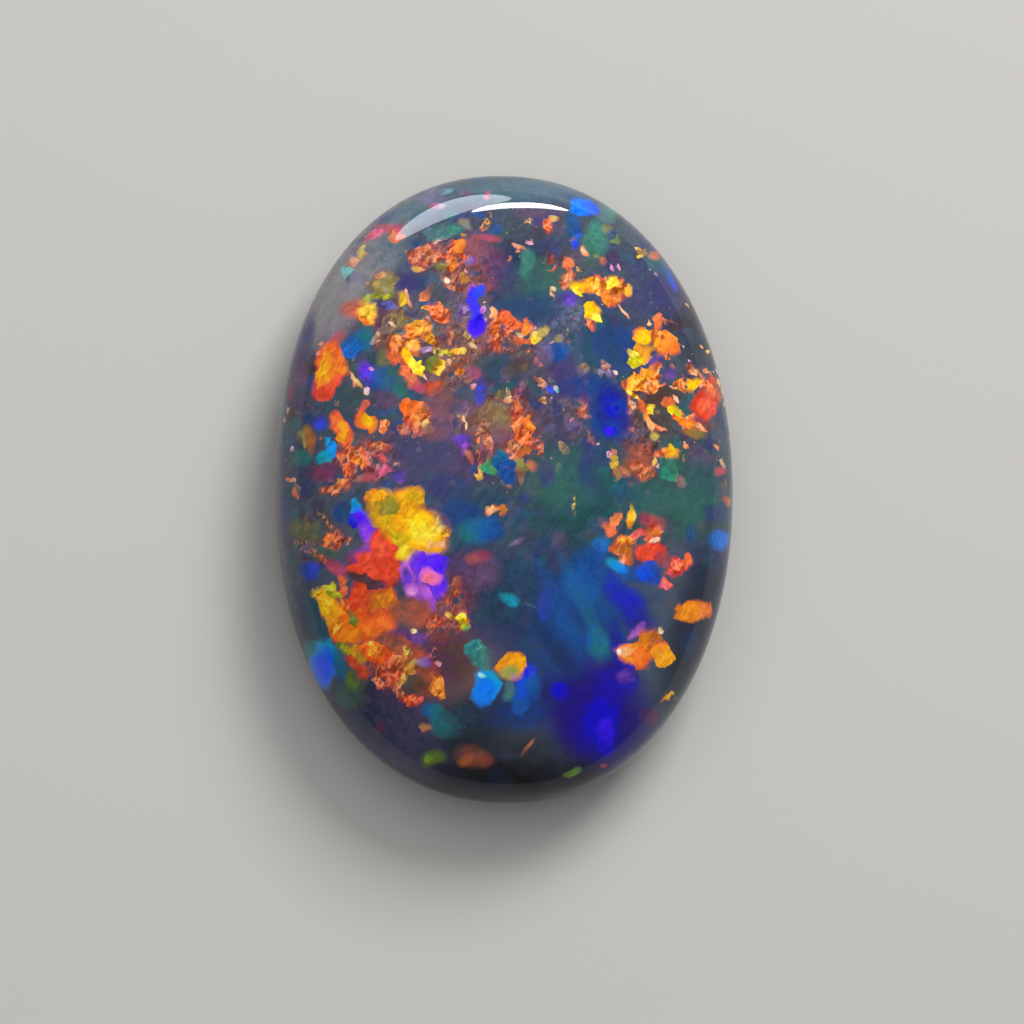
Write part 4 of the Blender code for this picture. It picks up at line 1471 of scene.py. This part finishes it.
    def material(self, name: str, flakes: list[Flake], places: dict[Flake, Vector]) -> bpy.types.Material:
        """The finish for the part of the stone that holds these flakes.

        Args:
            name: the material's name.
            flakes: the flakes that reach into that part, lowest first.
            places: where each flake lies, in mm of the picture's axes.

        Returns:
            The material.
        """
        made = bpy.data.materials.new(name)
        made.use_nodes = True
        write = NodeWriter(made.node_tree)
        surface = made.node_tree.nodes["Principled BSDF"]
        spot = write.add("ShaderNodeTexCoord").outputs["Object"]
        place = write.add("ShaderNodeMapping", vector_type="POINT")
        write.fill(place, Vector=spot, Rotation=self.view.axes().transposed().to_euler(), Scale=(1 / MM,) * 3)
        weave = write.fill(write.use(self.weave_group), Place=place.outputs[0]).outputs
        layers: tuple[Any, Any] = (Fire.SLATE.colour(), 0.0)
        for flake in flakes:
            if flake in GROUND:
                layers = self.lay(write, flake, places[flake], weave, layers)
        colour = layers[0]
        for layer in range(len(self.facet_layers)):
            colour = write.blend(weave["Facet Share %d" % layer], colour, weave["Facets %d" % layer])
        # Painted shade in the folds of the ground, less where the stone is less busy
        shade = write.math("MULTIPLY", write.math("SUBTRACT", 1.0, weave["Relief"]), self.ground_fold_shade)
        colour = write.blend(write.math("MULTIPLY", shade, weave["Busy"]), colour, self.fold_shade_colour, "MULTIPLY")
        fire: Any = 0.0
        for layer in range(len(self.spark_layers)):
            share = weave["Spark Share %d" % layer]
            colour = write.blend(share, colour, weave["Sparks %d" % layer])
            fire = write.math("MAXIMUM", fire, share)
        layers = colour, fire
        for flake in flakes:
            if flake not in GROUND:
                layers = self.lay(write, flake, places[flake], weave, layers)
        folds_lit = write.fill(write.use(self.fold_light_group), Colour=layers[0], Fire=layers[1])
        write.fill(folds_lit, Relief=weave["Relief"])
        height = write.add("ShaderNodeSeparateXYZ")
        write.feed(height.inputs[0], spot)
        potch = write.use(self.potch_group)
        write.fill(potch, Place=place.outputs[0], Foil=weave["Foil"])
        write.fill(potch, Height=height.outputs["Z"], Colour=folds_lit.outputs[0])
        write.feed(surface.inputs["Base Color"], potch.outputs[0])
        rough = write.span(weave["Foil"], 0.0, 1.0, self.roughness.start, self.roughness.end)
        write.feed(surface.inputs["Roughness"], rough)
        uneven = write.add("ShaderNodeBump")
        write.fill(uneven, Height=weave["Skin"], Strength=1.0, Distance=self.skin_depth * MM)
        write.feed(surface.inputs["Normal"], uneven.outputs[0])
        surface.inputs["Specular IOR Level"].default_value = 0.0
        surface.inputs["Coat Weight"].default_value = 1.0
        surface.inputs["Coat Roughness"].default_value = self.coat_gloss
        surface.inputs["Coat IOR"].default_value = self.coat_index
        return made


@dataclass(frozen=True)
class CabochonForm:
    """The stone's shape, from named sizes, by the same rule as its solid, only finer."""

    width: float = 8.0 * MM
    length: float = 11.1 * MM
    height: float = 3.1 * MM
    girdle_height: float = 1.2 * MM
    dome_power: float = 2.25
    back_power: float = 1.75
    back_inset: float = 1.9 * MM
    mean_shoulder_power: float = 2.16
    left_fullness: float = 0.05
    segments: int = 360
    dome_rings: int = 150
    back_rings: int = 56
    flat_rings: int = 10
    slope_step: float = math.pi / 720
    weld: float = 1e-7

    def outline_group(self) -> bpy.types.NodeTree:
        """The node group that gives the outline's point at an angle.

        Returns:
            The geometry group.
        """
        inputs = {name: "Float" for name in ("Turn", "Width", "Length", "Mean Power", "Left Fullness")}
        outputs = {"Point": "Vector"}
        tree, write, given, made = new_group("cabochon_outline", "GeometryNodeTree", inputs, outputs)
        take = given.outputs
        side, up = write.math("COSINE", take["Turn"]), write.math("SINE", take["Turn"])
        fuller = write.math("MULTIPLY", take["Left Fullness"], side)
        power = write.math("SUBTRACT", take["Mean Power"], fuller)
        across = write.math("POWER", write.math("ABSOLUTE", side), power)
        along = write.math("POWER", write.math("ABSOLUTE", up), power)
        stretch = write.math("POWER", write.math("ADD", across, along), write.math("DIVIDE", -1.0, power))
        point = write.add("ShaderNodeCombineXYZ")
        write.fill(point, X=write.math("MULTIPLY", side, write.math("MULTIPLY", take["Width"], 0.5)))
        write.fill(point, Y=write.math("MULTIPLY", up, write.math("MULTIPLY", take["Length"], 0.5)))
        write.feed(made.inputs["Point"], write.vector("SCALE", point.outputs[0], stretch))
        return tree

    def form_tree(self) -> bpy.types.NodeTree:
        """The geometry tree that bends a plain tube of rings into the whole cabochon.

        Returns:
            The geometry tree, for a modifier.
        """
        lengths = ("Width", "Length", "Height", "Girdle Height", "Back Inset")
        powers = ("Mean Power", "Left Fullness", "Dome Power", "Back Power")
        inputs = {name: "Float" for name in (*lengths, *powers)}
        counts = {name: "Int" for name in ("Segments", "Flat Rings", "Back Rings", "Dome Rings")}
        inputs = {"Geometry": "Geometry", **inputs, **counts, "Finish": "Material"}
        outputs = {"Geometry": "Geometry"}
        tree, write, given, made = new_group("cabochon_form", "GeometryNodeTree", inputs, outputs)
        tree.is_modifier = True
        take = given.outputs
        below = write.math("ADD", take["Flat Rings"], take["Back Rings"])
        rings = write.math("ADD", below, take["Dome Rings"])
        tube = write.add("GeometryNodeMeshCylinder", fill_type="NONE")
        write.fill(tube, Vertices=take["Segments"], Side_Segments=rings, Radius=1.0, Depth=1.0)
        seat = write.add("ShaderNodeSeparateXYZ")
        write.feed(seat.inputs[0], write.add("GeometryNodeInputPosition").outputs[0])
        turn = write.math("ARCTAN2", seat.outputs["Y"], seat.outputs["X"])
        ring = write.math("MULTIPLY", write.math("ADD", seat.outputs["Z"], 0.5), rings)

        def share(distance: Any, count: Any) -> bpy.types.NodeSocket:
            """distance over count, held between 0 and 1."""
            ratio = write.math("DIVIDE", distance, count)
            return write.math("MINIMUM", write.math("MAXIMUM", ratio, 0.0), 1.0)

        def arc(part: Any, power: Any) -> tuple[bpy.types.NodeSocket, bpy.types.NodeSocket]:
            """Follows a rounded quarter turn.

            Args:
                part: how far round it is, from 0 to 1.
                power: how full it is, where 2 is a circle's.

            Returns:
                Its level share and its upright share, from 0 to 1.
            """
            angle = write.math("MULTIPLY", part, math.pi / 2)
            root = write.math("DIVIDE", 2.0, power)
            level = write.math("MAXIMUM", write.math("COSINE", angle), 0.0)
            return write.math("POWER", level, root), write.math("POWER", write.math("SINE", angle), root)

        shrink = share(ring, take["Flat Rings"])
        down = share(write.math("SUBTRACT", below, ring), take["Back Rings"])
        back_level, back_drop = arc(down, take["Back Power"])
        up = share(write.math("SUBTRACT", ring, below), take["Dome Rings"])
        size, rise = arc(up, take["Dome Power"])
        inset = write.math("MULTIPLY", take["Back Inset"], write.math("SUBTRACT", 1.0, back_level))

        outline = self.outline_group()

        def outline_at(angle: Any) -> bpy.types.NodeSocket:
            """Places the outline's group.

            Args:
                angle: the angle from +X, in radians anticlockwise.

            Returns:
                The widest oval's point there.
            """
            node = write.add("GeometryNodeGroup", node_tree=outline)
            write.fill(node, Turn=angle, Width=take["Width"], Length=take["Length"])
            write.fill(node, Mean_Power=take["Mean Power"], Left_Fullness=take["Left Fullness"])
            return node.outputs[0]

        ahead = outline_at(write.math("ADD", turn, self.slope_step))
        behind = outline_at(write.math("SUBTRACT", turn, self.slope_step))
        rim = write.vector("NORMALIZE", write.vector("SUBTRACT", ahead, behind))
        outward = write.vector("CROSS_PRODUCT", rim, (0.0, 0.0, 1.0))
        level = write.vector("SUBTRACT", outline_at(turn), write.vector("SCALE", outward, inset))
        level = write.vector("SCALE", level, write.math("MULTIPLY", shrink, size))
        low = write.math("MULTIPLY", take["Girdle Height"], write.math("SUBTRACT", 1.0, back_drop))
        crown = write.math("SUBTRACT", take["Height"], take["Girdle Height"])
        lift = write.add("ShaderNodeCombineXYZ")
        write.fill(lift, Z=write.math("MULTIPLY_ADD", crown, rise, low))
        bent = write.add("GeometryNodeSetPosition")
        write.fill(bent, Geometry=tube.outputs["Mesh"], Position=write.vector("ADD", level, lift.outputs[0]))
        welded = write.add("GeometryNodeMergeByDistance")
        write.fill(welded, Geometry=bent.outputs[0], Distance=self.weld)
        smooth = write.add("GeometryNodeSetShadeSmooth")
        write.fill(smooth, Geometry=welded.outputs[0])
        real = write.add("GeometryNodeRealizeInstances")
        write.fill(real, Geometry=smooth.outputs[0])
        dressed = write.add("GeometryNodeSetMaterial")
        write.fill(dressed, Geometry=real.outputs[0], Material=take["Finish"])
        write.feed(made.inputs[0], dressed.outputs[0])
        return tree

    def build(self, name: str, finish: bpy.types.Material) -> bpy.types.Object:
        """Runs the tree and keeps its result as a plain mesh.

        Args:
            name: the piece's name.
            finish: the material the tree sets.

        Returns:
            The stone as a mesh object at the origin.
        """
        holder = bpy.data.objects.new(name + "_maker", bpy.data.meshes.new(name + "_maker"))
        bpy.context.scene.collection.objects.link(holder)
        modifier = holder.modifiers.new("form", "NODES")
        modifier.node_group = self.form_tree()
        values = {
            "Width": self.width,
            "Length": self.length,
            "Height": self.height,
            "Girdle Height": self.girdle_height,
            "Back Inset": self.back_inset,
            "Mean Power": self.mean_shoulder_power,
            "Left Fullness": self.left_fullness,
            "Dome Power": self.dome_power,
            "Back Power": self.back_power,
            "Segments": self.segments,
            "Flat Rings": self.flat_rings,
            "Back Rings": self.back_rings,
            "Dome Rings": self.dome_rings,
            "Finish": finish,
        }
        for item in modifier.node_group.interface.items_tree:
            if item.in_out == "INPUT" and item.name in values:
                modifier[item.identifier] = values[item.name]
        graph = bpy.context.evaluated_depsgraph_get()
        mesh = bpy.data.meshes.new_from_object(holder.evaluated_get(graph))
        mesh.name = name
        holder.modifiers.remove(modifier)
        bpy.data.objects.remove(holder)
        stone = bpy.data.objects.new(name, mesh)
        bpy.context.scene.collection.objects.link(stone)
        return stone


@dataclass
class Zone:
    """An oblong part of the main picture, with the flakes that reach into it."""

    left: float
    top: float
    right: float
    bottom: float
    flakes: list[Flake]
    halves: tuple["Zone", ...] = ()
    slot: int = -1

    def part(self, left: float, top: float, right: float, bottom: float) -> "Zone":
        """A smaller zone inside this one.

        Args:
            left: its left edge.
            top: its top edge.
            right: its right edge.
            bottom: its bottom edge.

        Returns:
            The zone, with the flakes of this one that reach into it.
        """
        held = []
        for flake in self.flakes:
            aside, upward = flake.reach()
            if left - aside < flake.across < right + aside and top - upward < flake.down < bottom + upward:
                held.append(flake)
        return Zone(left, top, right, bottom, held)

    def divide(self, most: int, smallest: float) -> None:
        """Halves the zone, and its halves, until none holds too many flakes.

        Args:
            most: the greatest number of flakes for a zone that stays whole.
            smallest: the least length, in pixels, of a side that is halved.
        """
        wide, tall = self.right - self.left, self.bottom - self.top
        if len(self.flakes) <= most or max(wide, tall) < smallest:
            return
        if wide > tall:
            middle = (self.left + self.right) / 2
            self.halves = (
                self.part(self.left, self.top, middle, self.bottom),
                self.part(middle, self.top, self.right, self.bottom),
            )
        else:
            middle = (self.top + self.bottom) / 2
            self.halves = (
                self.part(self.left, self.top, self.right, middle),
                self.part(self.left, middle, self.right, self.bottom),
            )
        for half in self.halves:
            half.divide(most, smallest)

    def find(self, across: float, down: float) -> "Zone":
        """Finds the undivided zone at a point of the picture.

        Args:
            across: pixels from the picture's left edge.
            down: pixels from its top edge.

        Returns:
            The zone that holds the point.
        """
        if not self.halves:
            return self
        second = self.halves[1]
        return self.halves[across > second.left and down > second.top].find(across, down)


@dataclass(frozen=True)
class BlackOpal:
    """The whole stone. Its finish is made zone by zone, so that each zone reads only the flakes near it."""

    form: CabochonForm
    finish: OpalFinish
    view: PictureView
    zone_edges: tuple[float, float, float, float] = (270.0, 170.0, 740.0, 810.0)
    most_flakes: int = 36
    smallest_zone: float = 30.0
    back_below: float = 0.9 * MM

    def places(self, stone: bpy.types.Object) -> dict[Flake, Vector]:
        """Finds each flake's place on the dome, straight behind its point of the picture.

        Args:
            stone: the stone's mesh object.

        Returns:
            Each flake's place, in mm of the picture's axes.
        """
        corners = [corner.co for corner in stone.data.vertices]
        tree = BVHTree.FromPolygons(corners, [face.vertices for face in stone.data.polygons])
        turn = self.view.axes().transposed()
        found = {}
        for flake in FLAKES:
            hit = tree.ray_cast(self.view.eye(), self.view.ray(flake.across, flake.down))[0]
            if hit is None:
                log.warning("the flake at %s, %s is off the stone", flake.across, flake.down)
                continue
            found[flake] = turn @ hit / MM
        return found

    def make(self) -> bpy.types.Object:
        """Builds the stone and dresses it.

        Returns:
            The finished piece.
        """
        back = self.finish.material("opal_back", [], {})
        stone = self.form.build("black_opal_stone", back)
        found = self.places(stone)
        mesh = stone.data
        whole = Zone(*self.zone_edges, list(found))
        whole.divide(self.most_flakes, self.smallest_zone)
        turn = self.view.axes().transposed()
        eye = turn @ self.view.eye() / MM
        half = PICTURE_SIZE / 2
        lens = self.view.lens / self.view.sensor * PICTURE_SIZE
        for face in mesh.polygons:
            if face.center.z < self.back_below:
                continue
            spot = turn @ face.center / MM - eye
            zone = whole.find(half - spot.x / spot.z * lens, half + spot.y / spot.z * lens)
            if zone.slot < 0:
                zone.slot = len(mesh.materials)
                mesh.materials.append(self.finish.material("opal_%02d" % zone.slot, zone.flakes, found))
                log.info("finish %d holds %d flakes", zone.slot, len(zone.flakes))
            face.material_index = zone.slot
        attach(stone, "root")
        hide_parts("black_opal")
        return stone


@dataclass(frozen=True)
class Softbox:
    """One area light, aimed at the stone. Angles are in degrees, with the azimuth clockwise from +Y."""

    name: str
    azimuth: float
    elevation: float
    distance: float
    width: float
    height: float
    radiance: float
    roll: float = 0.0
    oval: bool = False
    tint: tuple[float, float, float] = (1.0, 1.0, 1.0)
    glossy_only: bool = False
    diffuse_only: bool = False

    def place(self) -> bpy.types.Object:
        """Makes the light.

        Returns:
            The light object.
        """
        light = bpy.data.lights.new(self.name, "AREA")
        light.shape = "ELLIPSE" if self.oval else "RECTANGLE"
        light.size = self.width
        light.size_y = self.height
        light.color = self.tint
        light.energy = self.radiance * math.pi * self.width * self.height
        lamp = bpy.data.objects.new(self.name, light)
        a, e = math.radians(self.azimuth), math.radians(self.elevation)
        away = Vector((math.sin(a) * math.cos(e), math.cos(a) * math.cos(e), math.sin(e)))
        lamp.location = away * self.distance
        rolled = Quaternion((0, 0, 1), math.radians(self.roll))
        lamp.rotation_euler = (away.to_track_quat("Z", "Y") @ rolled).to_euler()
        lamp.visible_camera = False
        lamp.visible_diffuse = not self.glossy_only
        lamp.visible_glossy = not self.diffuse_only
        bpy.context.scene.collection.objects.link(lamp)
        return lamp


@dataclass(frozen=True)
class Studio:
    """The pale floor, the soft light and the windows that the polish mirrors."""

    floor_size: float = 400 * MM
    floor_colour: tuple[float, float, float, float] = (0.54, 0.525, 0.50, 1.0)
    floor_roughness: float = 0.9
    floor_shine: float = 0.1
    world_colour: tuple[float, float, float, float] = (0.86, 0.88, 0.92, 1.0)
    world_strength: float = 0.20
    lights: tuple[Softbox, ...] = (
        Softbox(
            "key_softbox",
            azimuth=28,
            elevation=46,
            distance=0.12,
            width=0.055,
            height=0.055,
            radiance=12.0,
            diffuse_only=True,
        ),
        Softbox(
            "top_softbox",
            azimuth=-60,
            elevation=80,
            distance=0.14,
            width=0.16,
            height=0.16,
            radiance=1.2,
            diffuse_only=True,
        ),
        Softbox(
            "window_streak",
            azimuth=8.5,
            elevation=15.5,
            distance=0.10,
            width=0.046,
            height=0.0080,
            radiance=22.0,
            roll=26,
            oval=True,
            glossy_only=True,
        ),
        Softbox(
            "window_haze",
            azimuth=-11,
            elevation=12.5,
            distance=0.10,
            width=0.060,
            height=0.030,
            radiance=6.5,
            roll=12,
            oval=True,
            tint=(0.82, 0.9, 1.0),
            glossy_only=True,
        ),
    )

    def set_up(self) -> None:
        """Makes the floor, the world and the lights."""
        mesh = bpy.data.meshes.new("floor")
        half = self.floor_size / 2
        corners = [(-half, -half, 0), (half, -half, 0), (half, half, 0), (-half, half, 0)]
        mesh.from_pydata(corners, [], [(0, 1, 2, 3)])
        floor = bpy.data.objects.new("floor", mesh)
        bpy.context.scene.collection.objects.link(floor)
        paint = bpy.data.materials.new("floor_paint")
        paint.use_nodes = True
        coat = paint.node_tree.nodes["Principled BSDF"]
        coat.inputs["Base Color"].default_value = self.floor_colour
        coat.inputs["Roughness"].default_value = self.floor_roughness
        coat.inputs["Specular IOR Level"].default_value = self.floor_shine
        mesh.materials.append(paint)
        world = bpy.data.worlds.new("studio")
        world.use_nodes = True
        sky = world.node_tree.nodes["Background"]
        sky.inputs["Color"].default_value = self.world_colour
        sky.inputs["Strength"].default_value = self.world_strength
        bpy.context.scene.world = world
        for light in self.lights:
            light.place()
        bpy.context.scene.view_settings.view_transform = "Standard"


def main() -> None:
    """Builds the stone and its studio, and reports each piece."""
    logging.basicConfig(level=logging.INFO, format="%(message)s")
    view = PictureView()
    view.place_camera()
    Studio().set_up()
    stone = BlackOpal(CabochonForm(), OpalFinish(view), view).make()
    log.info("%s: %d faces, %d finishes", stone.name, len(stone.data.polygons), len(stone.data.materials))


if __name__ == "__main__":
    main()
